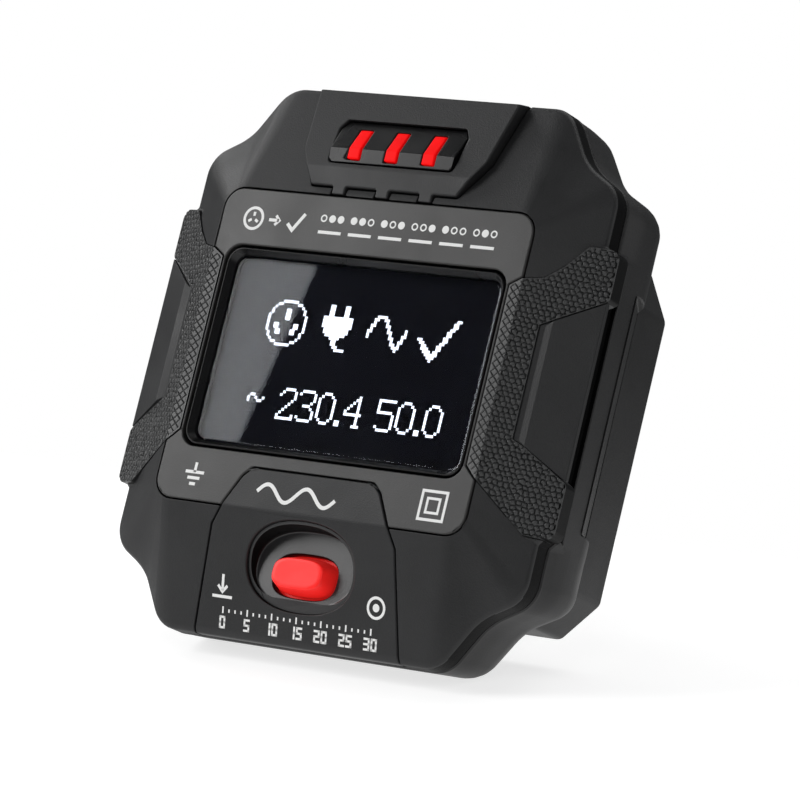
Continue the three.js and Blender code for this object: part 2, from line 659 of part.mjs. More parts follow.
for (const [name, material, x, z, boardX, boardZ] of wireEnds) {
  piece(name, material, wire([
    [x, 18.9, z], [x, 17.9, z], [x + (boardX - x) * 0.4, 16.6, z + (boardZ - z) * 0.4],
    [boardX, 15.3, boardZ], [boardX, 14.3, boardZ],
  ]));
}

export default group;
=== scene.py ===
import math

import bmesh
import bpy
import numpy as np
from mathutils import Matrix, Vector


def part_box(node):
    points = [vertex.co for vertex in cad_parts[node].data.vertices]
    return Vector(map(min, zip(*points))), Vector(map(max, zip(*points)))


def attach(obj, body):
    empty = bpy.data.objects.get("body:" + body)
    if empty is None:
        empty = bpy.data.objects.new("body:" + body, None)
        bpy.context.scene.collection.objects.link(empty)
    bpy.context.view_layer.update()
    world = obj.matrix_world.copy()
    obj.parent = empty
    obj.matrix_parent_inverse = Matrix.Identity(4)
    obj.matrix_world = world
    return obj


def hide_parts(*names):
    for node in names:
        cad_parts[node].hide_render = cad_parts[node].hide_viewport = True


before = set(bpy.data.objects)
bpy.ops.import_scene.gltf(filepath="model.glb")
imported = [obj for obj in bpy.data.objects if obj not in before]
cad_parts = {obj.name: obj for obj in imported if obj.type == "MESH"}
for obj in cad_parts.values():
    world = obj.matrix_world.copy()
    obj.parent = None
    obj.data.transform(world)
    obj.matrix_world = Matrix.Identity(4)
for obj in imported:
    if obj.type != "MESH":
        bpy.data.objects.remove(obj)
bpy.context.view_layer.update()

# The drawing frame is the one the casing is dimensioned in: millimetres, X right, Y from
# the face plate into the body, Z up from the middle of the display.
MM = 0.001
WINDOW_LO, WINDOW_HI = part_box("display_window")
ORIGIN = Vector((0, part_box("face_plate")[0].y, (WINDOW_LO.z + WINDOW_HI.z) / 2))

GAP = 0.3
WALL = 2.2
HALF_WIDTH = 36
HALF_HEIGHT = 40.1
HOUSING_Z = -0.1
SHOULDER_X = 34.9
PAD_Z = 20
PLATE_HALF_X = 26.2
PLATE_HALF_Z = 22.85
PLATE_Z = 0.25
PLATE_R = 3
PLATE_T = 1.5
PLATE_HOLE = (23.84, 14.88)
BEZEL_HALF = (23.5, 14.55)
BEZEL_OPENING = (22.6, 13.7)
WINDOW_HALF = (22.3, 13.4)
WINDOW_Y = (1.3, 2.3)
POCKET_GAP = 0.22
GRIP_POCKET_GAP = 0.05
TAB_DEPTH = 1.3
GRIP_DEPTH = 1.2
RIM_Y = 5.9
PARTING_Y = 8.55
BACK_Y = 20
PLUG_FACE_Y = 28.4
PLUG_Z = -4
FOLD_Z = PLATE_Z - PLATE_HALF_Z
SLOPE_SHARE, SLOPE_Y = 0.955, 5.2
FACET_SLOPE = SLOPE_Y / (SLOPE_SHARE * (FOLD_Z - (HOUSING_Z - HALF_HEIGHT)))
WELL_Z = -29.5
WELL = (9.4, 6.4)
WELL_FLOOR_Y = 4.0
COLLAR_BACK_Y = 5.2
BUTTON_Z = -30.5
BUTTON_SIZE = (4.85, 2.7)
BUTTON_FACE_Y = 1.75
GROOVE_X = 35
GROOVE_Y = (6.6, 9.9)
GROOVE_Z = (-20, 19.9)
DRAFT = 0.12
PIN_OUT = 18
EARTH_OUT = 21
PIN_W = 6.4
PIN_T = 1.6
PIN_CIRCLE = 7.92
EARTH_RISE = 10.3
PIN_TAIL_Y = 19.2
PILOT_R = 1.6
CASE_SCREWS = [(-20.5, 32.6), (20.5, 32.6), (-20.5, -33.8), (20.5, -33.8)]
CARRIER_SCREWS = [(-8.6, PLUG_Z + 4.5), (8.6, PLUG_Z + 4.5)]
PINS = [
    ("neutral_pin", -PIN_CIRCLE * math.cos(math.pi / 6), -PIN_CIRCLE / 2, -math.pi / 6, PIN_OUT),
    ("live_pin", PIN_CIRCLE * math.cos(math.pi / 6), -PIN_CIRCLE / 2, math.pi / 6, PIN_OUT),
    ("earth_pin", 0, EARTH_RISE, 0, EARTH_OUT),
]


def place(point):
    return ORIGIN + Vector(point) * MM


# ---- outlines

def smoothstep(low, high, value):
    t = np.clip((value - low) / (high - low), 0, 1)
    return t * t * (3 - 2 * t)


def rounded(corners, steps=7):
    points = []
    for i, corner in enumerate(corners):
        x, z = corner[:2]
        radius = corner[2] if len(corner) > 2 else 0
        here = Vector((x, z))
        if not radius:
            points.append(here)
            continue
        back = (Vector(corners[i - 1][:2]) - here).normalized()
        ahead = (Vector(corners[(i + 1) % len(corners)][:2]) - here).normalized()
        half = math.acos(max(-1, min(1, back.dot(ahead)))) / 2
        centre = here + (back + ahead).normalized() * (radius / math.sin(half))
        start = here + back * (radius / math.tan(half)) - centre
        end = here + ahead * (radius / math.tan(half)) - centre
        a0 = math.atan2(start.y, start.x)
        turn = math.atan2(end.y, end.x) - a0
        turn = math.atan2(math.sin(turn), math.cos(turn))
        for k in range(steps + 1):
            a = a0 + turn * k / steps
            points.append(centre + Vector((math.cos(a), math.sin(a))) * radius)
    return points


def vectors(corners):
    return [Vector(c[:2]) for c in corners]


def flip(corners):
    return [(-c[0],) + tuple(c[1:]) for c in reversed(corners)]


def mirrored(right):
    return list(right) + flip(right)


def on_side(corners, side):
    """An outline drawn on the right, or its mirror image on the left where side is -1."""
    return corners if side > 0 else flip(corners)


def rounded_box(half_x, half_z, radius, centre_z=0, steps=7):
    right = [(half_x, centre_z - half_z, radius), (half_x, centre_z + half_z, radius)]
    return rounded(mirrored(right), steps)


def circle(x, z, r, sides):
    turns = [2 * math.pi * i / sides for i in range(sides)]
    return [(x + r * math.cos(turn), z + r * math.sin(turn)) for turn in turns]


def oval(half_x, half_z, centre_z, sides=72, power=2.3):
    points = []
    for i in range(sides):
        a = 2 * math.pi * i / sides
        c, s = math.cos(a), math.sin(a)
        x = math.copysign(abs(c) ** (2 / power), c)
        z = math.copysign(abs(s) ** (2 / power), s)
        points.append(Vector((half_x * x, centre_z + half_z * z)))
    return points


def inset(points, distance):
    moved = []
    count = len(points)
    for i, point in enumerate(points):
        a = (point - points[i - 1]).normalized()
        b = (points[(i + 1) % count] - point).normalized()
        normal = Vector((-a.y - b.y, a.x + b.x)).normalized()
        mitre = max(0.5, normal.dot(Vector((-a.y, a.x))))
        moved.append(point + normal * (distance / mitre))
    return moved


def blend(a, b, t):
    return [p.lerp(q, t) for p, q in zip(a, b)]


FILLET_STEPS = 8


def casing_quarter(corners):
    """Points of the upper right quarter, each with the share of the plate's corner it slopes up to."""
    points = rounded(corners, FILLET_STEPS)[: 2 + 3 * (FILLET_STEPS + 1)]
    shares = [-2, -1]
    for fillet in range(3):
        shares += [fillet * 5 + 4 * step / FILLET_STEPS for step in range(FILLET_STEPS + 1)]
    return list(zip(points, shares))


def casing_outline(shoulder_x, shoulder_z, hollow, top_x):
    quarter = [
        (HALF_WIDTH, PAD_Z, 0),
        (shoulder_x, PAD_Z + 1.1, 0),
        (shoulder_x, shoulder_z, 4.5),
        hollow,
        (top_x, HALF_HEIGHT, 4.5),
        (-top_x, HALF_HEIGHT, 0),
        (-shoulder_x, 0, 0),
        (shoulder_x, -PAD_Z, 0),
    ]
    return casing_quarter(quarter)


def whole(quarter, centre_z):
    """Four quarters from one, anticlockwise seen from the front."""
    upper = quarter + [Vector((-p.x, p.y)) for p in reversed(quarter)]
    both = upper + [Vector((-p.x, -p.y)) for p in upper]
    return [Vector((p.x, p.y + centre_z)) for p in both]


def fan_quarter(quarter):
    points = []
    for _, share in quarter:
        turn = max(0, min(1, share / 14)) * math.pi / 2
        x = PLATE_HALF_X - PLATE_R + PLATE_R * math.cos(turn)
        z = PLATE_HALF_Z - PLATE_R + PLATE_R * math.sin(turn)
        if share < 0:
            z += 1.2 * share
        points.append(Vector((x, z)))
    return points


FRONT_QUARTER = casing_outline(SHOULDER_X, 28.9, (28.6, 32.4, 9), 23.8)
FRONT = whole([p for p, _ in FRONT_QUARTER], HOUSING_Z)
FAN = whole(fan_quarter(FRONT_QUARTER), PLATE_Z)
REAR = whole([p for p, _ in casing_outline(HALF_WIDTH - 0.05, 28.7, (29.2, 32.3, 9), 24.3)], HOUSING_Z)
PLATE_OUTLINE = rounded_box(PLATE_HALF_X, PLATE_HALF_Z, PLATE_R, PLATE_Z, 8)
TAB = vectors(mirrored([(12.3, 24.6), (15.5, 30.0), (17.2, 41)]))
PANEL = mirrored([(17.5, -41.5), (15.5, -25.4), (11.6, -18.2, 1.2), (10.2, -16.9, 1.2)])
BOSS = mirrored([(28, -30.2, 1.5), (33, -24.6, 1.5), (33, 16.5, 2), (28.5, 24, 2)])
GRIP = [
    (24.4, -12.6), (25.7, -13.9), (33.3, -20.5), (37.2, -20.5, 1.4), (37.2, -12.6, 1), (31.4, -8.9),
    (29.5, -8.0), (29.5, 8.2), (31.4, 9.5), (37.2, 13.4, 1), (37.2, 20.6, 1.4), (33.3, 20.2),
    (31.0, 16.9), (28.8, 14.7), (26.2, 14.0), (24.4, 12.9),
]
INLAY_X = 37
LEDGE = [(29.8, 2.2), (31.4, 2.2), (INLAY_X, 5.55), (INLAY_X, 6.3), (29.8, 4.4)]
INLAY = [(29.8, -7.8), (INLAY_X, -12.2), (INLAY_X, 13.1), (29.8, 8.0)]
INSERT_HOLE = vectors(mirrored([(10.1, 28.0), (10.6, 28.5), (10.9, 33.6), (10.0, 35.0)]))
PIPE_X = [-6.3, 0, 6.3]
TEETH = [vectors([(x - 1.1, 23.4), (x + 1.1, 23.4), (x + 1.1, 26), (x - 1.1, 26)]) for x in (-7.4, 0, 7.3)]


# ---- solids

def linked(name, data):
    obj = bpy.data.objects.new(name, data)
    bpy.context.scene.collection.objects.link(obj)
    return obj


def mesh_object(name, points, faces, merge=True):
    """An object from points in the drawing frame; its faces are turned to face out."""
    mesh = bpy.data.meshes.new(name)
    mesh.from_pydata([place(p) for p in points], [], faces)
    bm = bmesh.new()
    bm.from_mesh(mesh)
    if merge:
        bmesh.ops.remove_doubles(bm, verts=bm.verts, dist=2e-6)
    bmesh.ops.recalc_face_normals(bm, faces=bm.faces)
    bm.to_mesh(mesh)
    bm.free()
    return linked(name, mesh)


def loft(sections):
    """A closed solid through outlines of equal length, each at its own depth."""
    count = len(sections[0][1])
    points, faces = [], []
    for y, outline in sections:
        points += [(p.x, y, p.y) for p in outline]
    for s in range(len(sections) - 1):
        for i in range(count):
            a, b = s * count + i, s * count + (i + 1) % count
            faces.append((a, b, b + count, a + count))
    last = (len(sections) - 1) * count
    faces += [tuple(range(count)), tuple(range(last, last + count))]
    return mesh_object("solid", points, faces)


def prism(outline, y0, y1):
    return loft([(y0, outline), (y1, outline)])


def closed_bar(points):
    """A bar from the points of its first end followed by those of its last."""
    count = len(points) // 2
    faces = [(i, (i + 1) % count, count + (i + 1) % count, count + i) for i in range(count)]
    faces += [tuple(range(count)), tuple(range(count, 2 * count))]
    return mesh_object("solid", points, faces)


def bar_x(section, x0, x1):
    """A bar along X from a section of (depth, height)."""
    return closed_bar([(x, y, z) for x in (x0, x1) for y, z in section])


def bar_z(section, z0, z1):
    """A bar along Z from a section of (width, depth)."""
    return closed_bar([(x, y, z) for z in (z0, z1) for x, y in section])


def turned(profile, x, z, sides=40):
    """A turned solid about an axis along Y from pairs of radius and depth."""
    points, rings, faces = [], [], []
    for r, y in profile:
        if r == 0:
            rings.append([len(points)] * sides)
            points.append((x, y, z))
        else:
            rings.append(list(range(len(points), len(points) + sides)))
            points += [(px, y, pz) for px, pz in circle(x, z, r, sides)]
    for a, b in zip(rings, rings[1:]):
        for i in range(sides):
            j = (i + 1) % sides
            face = [a[i], a[j], b[j], b[i]]
            face = [v for k, v in enumerate(face) if v not in face[:k]]
            if len(face) > 2:
                faces.append(tuple(face))
    return mesh_object("solid", points, faces)


def round_bar(radius, y0, y1, x, z):
    return turned([(0, y0), (radius, y0), (radius, y1), (0, y1)], x, z)


def block(x0, x1, y0, y1, z0, z1):
    return bar_z([(x0, y0), (x1, y0), (x1, y1), (x0, y1)], z0, z1)


def on_lower_facet(obj):
    for v in obj.data.vertices:
        z = (v.co.z - ORIGIN.z) / MM
        v.co.y += FACET_SLOPE * (FOLD_Z - z) * MM
    return obj


def at_pin(obj, pin):
    """Turns a piece drawn at the plug centre, long side upright, onto its pin's place."""
    _, x, z, turn, _ = pin
    c, s = math.cos(turn), math.sin(turn)
    for v in obj.data.vertices:
        px, pz = (v.co.x - ORIGIN.x) / MM, (v.co.z - ORIGIN.z) / MM
        v.co.x = ORIGIN.x + (c * px + s * pz + x) * MM
        v.co.z = ORIGIN.z + (-s * px + c * pz + z + PLUG_Z) * MM
    return obj


def baked(obj):
    """Applies the object's modifiers to its mesh."""
    graph = bpy.context.evaluated_depsgraph_get()
    mesh = bpy.data.meshes.new_from_object(obj.evaluated_get(graph))
    old = obj.data
    obj.modifiers.clear()
    obj.data = mesh
    bpy.data.meshes.remove(old)
    return obj


def combine(body, tools, operation):
    for tool in tools:
        mod = body.modifiers.new("boolean", "BOOLEAN")
        mod.operation = operation
        mod.solver = "MANIFOLD"
        mod.object = tool
    bpy.context.view_layer.update()
    baked(body)
    for tool in tools:
        bpy.data.objects.remove(tool)
    return body


def cut(body, *tools):
    return combine(body, tools, "DIFFERENCE")


def join(body, *tools):
    return combine(body, tools, "UNION")


def common(body, *tools):
    return combine(body, tools, "INTERSECT")


def copy(obj, depth=0):
    new = obj.copy()
    new.data = obj.data.copy()
    for v in new.data.vertices:
        v.co.y += depth * MM
    bpy.context.scene.collection.objects.link(new)
    return new


def shade(mesh, limit=38):
    """Smooth shading that keeps flats flat: each face counts with the area of the flat it lies in."""
    cosine = math.cos(math.radians(limit))
    polygons = mesh.polygons
    normals = [p.normal.copy() for p in polygons]
    flat = list(range(len(polygons)))

    def root(i):
        while flat[i] != i:
            flat[i] = flat[flat[i]]
            i = flat[i]
        return i

    sides = {}
    around = [[] for _ in mesh.vertices]
    for p in polygons:
        for key in p.edge_keys:
            sides.setdefault(key, []).append(p.index)
        for v in p.vertices:
            around[v].append(p.index)
    for pair in sides.values():
        if len(pair) == 2 and normals[pair[0]].dot(normals[pair[1]]) > 0.99999:
            flat[root(pair[0])] = root(pair[1])
    area = {}
    for p in polygons:
        area[root(p.index)] = area.get(root(p.index), 0) + p.area
    loops = [None] * len(mesh.loops)
    for p in polygons:
        for corner, v in zip(p.loop_indices, p.vertices):
            total = Vector()
            for other in around[v]:
                if normals[other].dot(normals[p.index]) > cosine:
                    total += normals[other] * area[root(other)]
            loops[corner] = total.normalized() if total.length else normals[p.index]
    mesh.polygons.foreach_set("use_smooth", [True] * len(polygons))
    mesh.normals_split_custom_set(loops)


def soften(obj, width, segments=3, angle=28):
    """Rounds the sharp edges and shades the result smooth."""
    bm = bmesh.new()
    bm.from_mesh(obj.data)
    bmesh.ops.remove_doubles(bm, verts=bm.verts, dist=4e-6)
    bmesh.ops.recalc_face_normals(bm, faces=bm.faces)
    bmesh.ops.triangulate(bm, faces=[face for face in bm.faces if len(face.verts) > 4])
    bm.to_mesh(obj.data)
    bm.free()
    if width:
        mod = obj.modifiers.new("edges", "BEVEL")
        mod.width = width * MM
        mod.segments = segments
        mod.limit_method = "ANGLE"
        mod.angle_limit = math.radians(angle)
        mod.use_clamp_overlap = False
        mod.miter_outer = "MITER_ARC"
        baked(obj)
    shade(obj.data)
    return obj


# ---- materials

# How dark the painted shade makes the marked faces of the covers, grips and collar.
PAINTED_SHADE_LEVEL = 0.2
ROUGH_DRIFT = 0.08


def set_inputs(shader_node, values):
    for key, value in values.items():
        shader_node.inputs[key].default_value = value


def material(name, color, roughness, inputs=None):
    """A new material and its shader, with values for more of the shader's inputs by name."""
    mat = bpy.data.materials.new(name)
    mat.use_nodes = True
    shader = mat.node_tree.nodes["Principled BSDF"]
    set_inputs(shader, {"Base Color": (*color, 1), "Roughness": roughness, **(inputs or {})})
    return mat, shader


def node(mat, kind, inputs=None, **settings):
    new = mat.node_tree.nodes.new(kind)
    for key, value in settings.items():
        setattr(new, key, value)
    set_inputs(new, inputs or {})
    return new


def wire(source, target, slot):
    target.id_data.links.new(source, target.inputs[slot])


def object_space(mat):
    return node(mat, "ShaderNodeTexCoord").outputs["Object"]


def noise(mat, where, scale, detail, roughness=0.5):
    texture = node(mat, "ShaderNodeTexNoise", {"Scale": scale, "Detail": detail, "Roughness": roughness})
    wire(where, texture, "Vector")
    return texture.outputs["Fac"]


def multiply_add(mat, value, factor, addend=None):
    """The value times a factor, plus another socket's value where one is given."""
    operation = "MULTIPLY" if addend is None else "MULTIPLY_ADD"
    result = node(mat, "ShaderNodeMath", {1: factor}, operation=operation)
    wire(value, result, 0)
    if addend is not None:
        wire(addend, result, 2)
    return result.outputs[0]


def spread(mat, value, low, high, from_low=0.0, from_high=1.0):
    """Maps a value to a range."""
    mapped = node(mat, "ShaderNodeMapRange", {
        "From Min": from_low, "From Max": from_high, "To Min": low, "To Max": high})
    wire(value, mapped, "Value")
    return mapped.outputs["Result"]


def ramp(mat, value, dark, light, dark_at=0.0, light_at=1.0):
    """Maps a value to a colour between two."""
    tone = node(mat, "ShaderNodeValToRGB")
    for element, color, at in zip(tone.color_ramp.elements, (dark, light), (dark_at, light_at)):
        element.position = at
        element.color = (*color, 1)
    wire(value, tone, "Fac")
    return tone.outputs["Color"]


def scaled(color, factor):
    return [min(1, c * factor) for c in color]


def bumped(mat, shader, height, depth, strength=1.0):
    """Dents the surface by a height; depth is in mm."""
    bump = node(mat, "ShaderNodeBump", {"Strength": strength, "Distance": depth * MM})
    wire(height, bump, "Height")
    wire(bump.outputs["Normal"], shader, "Normal")


def moulded(name, color, roughness, grain=0.3, depth=0.006, drift=0.25, gloss=0.5, painted_shade=False):
    """Moulded plastic: spark-eroded grain of a given size in mm, with slow drifts in tone and gloss.

    Where asked, the faces marked on the mesh get painted shade: a darker colour and a weaker reflection,
    standing in for the shadow in recesses and between parts.
    """
    mat, shader = material(name, color, roughness, {"Specular IOR Level": gloss})
    where = object_space(mat)
    fine = noise(mat, where, 1 / (grain * MM), 3.0, 0.6)
    slow = noise(mat, where, 90.0, 4.0, 0.6)
    cells = node(mat, "ShaderNodeTexVoronoi", {"Scale": 0.8 / (grain * MM)})
    wire(where, cells, "Vector")
    bumped(mat, shader, multiply_add(mat, cells.outputs["Distance"], 0.5, fine), depth)
    mottle = multiply_add(mat, slow, 0.6, multiply_add(mat, fine, 0.4))
    tone = ramp(mat, mottle, scaled(color, 1 - drift), scaled(color, 1 + drift), 0.3, 0.75)
    # Painted shade on the marked faces: darker colour and weaker reflection.
    if painted_shade:
        marked = node(mat, "ShaderNodeAttribute", attribute_name="painted_shade")
        edge = spread(mat, marked.outputs["Fac"], 1.0, PAINTED_SHADE_LEVEL)
        dimmed = node(mat, "ShaderNodeVectorMath", operation="SCALE")
        wire(tone, dimmed, 0)
        wire(edge, dimmed, "Scale")
        tone = dimmed.outputs["Vector"]
        wire(multiply_add(mat, edge, gloss), shader, "Specular IOR Level")
    wire(tone, shader, "Base Color")
    rough = spread(mat, slow, roughness - ROUGH_DRIFT, roughness + ROUGH_DRIFT, 0.25, 0.75)
    wire(rough, shader, "Roughness")
    return mat


def brushed(name, color, roughness):
    """Plated or drawn metal with fine lines along Y."""
    mat, shader = material(name, color, roughness, {"Metallic": 1.0})
    where = object_space(mat)
    stretch = node(mat, "ShaderNodeMapping", {"Scale": (1, 0.04, 1)})
    wire(where, stretch, "Vector")
    lines = noise(mat, stretch.outputs["Vector"], 9000.0, 4.0, 0.65)
    slow = noise(mat, where, 260.0, 5.0, 0.6)
    bumped(mat, shader, lines, 0.004, 0.35)
    wire(spread(mat, slow, roughness * 0.85, roughness * 1.2), shader, "Roughness")
    wire(ramp(mat, slow, scaled(color, 0.94), color), shader, "Base Color")
    return mat


def glowing(name, color, roughness, strength, drift=0.2):
    """Plastic lit from inside, with an uneven glow."""
    looks = {"Specular IOR Level": 0.06, "Emission Strength": strength}
    mat, shader = material(name, color, roughness, looks)
    cloud = noise(mat, object_space(mat), 350.0, 2.0)
    tone = ramp(mat, cloud, scaled(color, 1 - drift), color, 0.3, 0.7)
    wire(tone, shader, "Base Color")
    wire(tone, shader, "Emission Color")
    return mat


def clear_window(name):
    """Clear glass with a slight haze; its index is below a real one's, to keep its gleam dim."""
    mat, shader = material(name, (0.9, 0.93, 1.0), 0.02, {"Transmission Weight": 1.0, "IOR": 1.19})
    haze = noise(mat, object_space(mat), 70.0, 5.0)
    wire(spread(mat, haze, 0.0, 0.012), shader, "Roughness")
    return mat


def circuit_board(name):
    """Green lacquer over copper tracks, drawn as a brick pattern turned to face along Y."""
    lacquer, copper = (0.012, 0.11, 0.045), (0.05, 0.24, 0.1)
    mat = moulded(name, lacquer, 0.38, grain=0.5, depth=0.01)
    turn = node(mat, "ShaderNodeMapping", {"Rotation": (math.pi / 2, 0, 0)})
    wire(object_space(mat), turn, "Vector")
    tracks = node(mat, "ShaderNodeTexBrick", {
        "Scale": 260.0, "Color1": (*lacquer, 1), "Color2": (0.016, 0.14, 0.06, 1), "Mortar": (*copper, 1),
        "Mortar Size": 0.03})
    wire(turn.outputs["Vector"], tracks, "Vector")
    shader = mat.node_tree.nodes["Principled BSDF"]
    wire(tracks.outputs["Color"], shader, "Base Color")
    return mat


# These materials paint shade on the faces marked on their meshes.
CASING = moulded("casing_plastic", (0.016, 0.0162, 0.017), 0.48, grain=0.2, depth=0.024, gloss=0.34,
                 painted_shade=True)
REAR_PLASTIC = moulded("rear_plastic", (0.013, 0.013, 0.0134), 0.5, grain=0.22, depth=0.02, drift=0.2,
                       gloss=0.4, painted_shade=True)
PLATE = moulded("plate_plastic", (0.025, 0.0245, 0.024), 0.42, grain=0.16, depth=0.012, drift=0.15,
                gloss=0.42)
GRIP_PLASTIC = moulded("grip_plastic", (0.018, 0.0185, 0.019), 0.46, grain=0.14, depth=0.012, gloss=0.7,
                       painted_shade=True)
INSERT = moulded("insert_plastic", (0.004, 0.004, 0.0045), 0.3, grain=0.4, depth=0.003, drift=0.3, gloss=0.3)
BEZEL = moulded("bezel_plastic", (0.008, 0.008, 0.0085), 0.3, depth=0.004, drift=0.2, gloss=0.3)
COLLAR = moulded("collar_plastic", (0.02, 0.0202, 0.021), 0.36, grain=0.25, drift=0.2, gloss=0.6, painted_shade=True)
BUTTON = moulded("button_plastic", (0.95, 0.012, 0.01), 0.38, depth=0.004, drift=0.05, gloss=0.3)
# A faint glow in the red button: painted light, as the button holds no lamp.
set_inputs(BUTTON.node_tree.nodes["Principled BSDF"], {
    "Emission Color": (1.0, 0.03, 0.025, 1), "Emission Strength": 0.2})
LIGHT_RED = glowing("light_pipe_red", (0.9, 0.003, 0.004), 0.4, 0.4)
WINDOW = clear_window("window_glass")
DISPLAY = moulded("display_black", (0.001, 0.0012, 0.004), 0.5, depth=0.001, drift=0.2, gloss=0.03)
PIXEL = glowing("pixel_white", (0.95, 0.97, 1.0), 0.4, 1.1, drift=0.08)
PRINT = moulded("print_white", (0.86, 0.86, 0.85), 0.5, grain=0.12, depth=0.004, drift=0.05)
BOARD = circuit_board("circuit_board")
BLACK_PART = moulded("component_black", (0.01, 0.01, 0.01), 0.45, depth=0.008)
CERAMIC = moulded("ceramic", (0.62, 0.58, 0.5), 0.75, depth=0.03, drift=0.12)
FILM = moulded("film_yellow", (0.55, 0.3, 0.02), 0.4, grain=0.4)
SLEEVE = moulded("sleeve_blue", (0.02, 0.035, 0.12), 0.35, grain=0.5)
RIBBON = moulded("ribbon", (0.42, 0.16, 0.03), 0.35, grain=0.4, depth=0.004)
NICKEL = brushed("nickel_plate", (0.72, 0.7, 0.65), 0.26)
STEEL = brushed("screw_steel", (0.42, 0.42, 0.43), 0.34)
CARRIER = moulded("carrier_plastic", (0.016, 0.016, 0.016), 0.55, depth=0.02)
BROWN = moulded("brown_wire", (0.1, 0.035, 0.01), 0.45)
BLUE = moulded("blue_wire", (0.015, 0.07, 0.32), 0.45)
GREEN = moulded("green_wire", (0.05, 0.28, 0.05), 0.45)


def piece(obj, name, mat, slot, *nodes, body="housing"):
    obj.name = name
    obj.data.name = name
    obj.data.materials.clear()
    obj.data.materials.append(mat)
    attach(obj, body)
    if nodes:
        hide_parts(*nodes)
    return obj


# ---- the casing's own form

def paint_shade_on_faces(obj, in_shade):
    """Marks the faces whose centre (mm) and normal pass the test, for the materials to paint shade on them.
    """
    attribute = obj.data.attributes.new("painted_shade", "FLOAT", "FACE")
    values = []
    for p in obj.data.polygons:
        x, y, z = (p.center - ORIGIN) / MM
        values.append(1.0 if in_shade(abs(x), y, abs(z), p.normal) else 0.0)
    attribute.data.foreach_set("value", values)
    return obj


SLOPE = [(SLOPE_Y * t, blend(FAN, FRONT, SLOPE_SHARE * t)) for t in (0, 0.25, 0.5, 0.75, 1)] + [
    (5.58, blend(FAN, FRONT, 0.985)), (RIM_Y, FRONT)]
FORM = loft(SLOPE + [(30, FRONT)])


def behind(depth):
    return copy(FORM, depth)


def layer(outline, depth, front=-2):
    """What lies between the front surface and a depth behind it, inside an outline."""
    return cut(prism(outline, front, 20), behind(depth))


def side_grooves():
    front, back = GROOVE_Y
    section = [(GROOVE_X, front), (40, front), (40, back), (GROOVE_X, back)]
    return [bar_z([(side * x, y) for x, y in section], *GROOVE_Z) for side in (1, -1)]


def front_shell():
    rim = [(PARTING_Y - GAP / 2 - 0.15, FRONT), (PARTING_Y - GAP / 2, inset(FRONT, 0.15))]
    shell = loft(SLOPE + rim)
    hollow = loft([(2.7, inset(FAN, 1)), (7.2, inset(FRONT, WALL)), (PARTING_Y + 1, inset(FRONT, WALL))])
    for side in (1, -1):
        bar = bar_z([(side * x, y) for x, y in LEDGE], -14, 14)
        shell = join(shell, common(bar, prism(vectors(on_side(INLAY, side)), 0, 8)))
    pillars = [common(round_bar(2.7, 4.6, 8.4, x, z), behind(1.5)) for x, z in CASE_SCREWS]
    pilots = [round_bar(PILOT_R, 5.4, 9, x, z) for x, z in CASE_SCREWS]
    tools = [
        hollow,
        prism(inset(PLATE_OUTLINE, -POCKET_GAP), -2, PLATE_T + GAP),
        layer(inset(rounded(PANEL), -POCKET_GAP), PLATE_T + GAP),
        layer(inset(TAB, -POCKET_GAP), TAB_DEPTH),
        prism(rounded_box(24.1, 15.1, 2.6), -2, 12),
        prism(inset(INSERT_HOLE, -GAP), -2, 12),
        prism(oval(*WELL, WELL_Z), -2, 14),
    ]
    tools += [layer(inset(tooth, -POCKET_GAP), TAB_DEPTH) for tooth in TEETH]
    tools += side_grooves()
    grips = [inset(vectors(on_side(GRIP, side)), -GRIP_POCKET_GAP) for side in (1, -1)]
    tools += [layer(grip, GRIP_DEPTH) for grip in grips]
    shell = cut(shell, *tools)
    shell = cut(join(shell, *pillars), *pilots)
    # Painted shade on the side wall between the rim and the parting line.
    shell = paint_shade_on_faces(soften(shell, 0.16, 2), lambda x, y, z, n: y > RIM_Y + 0.12 and abs(n.y) < 0.7)
    return piece(shell, "front_shell", CASING, "casing", "front_cover")


def drafted(outline, y):
    """Narrows an outline of the rear shell at top and bottom, for the draft of its mould."""
    narrow = DRAFT * max(0, y - PARTING_Y)
    return [Vector((p.x, p.y - math.copysign(narrow * min(1, max(0, (abs(p.y) - PAD_Z) / PAD_Z)), p.y)))
            for p in outline]


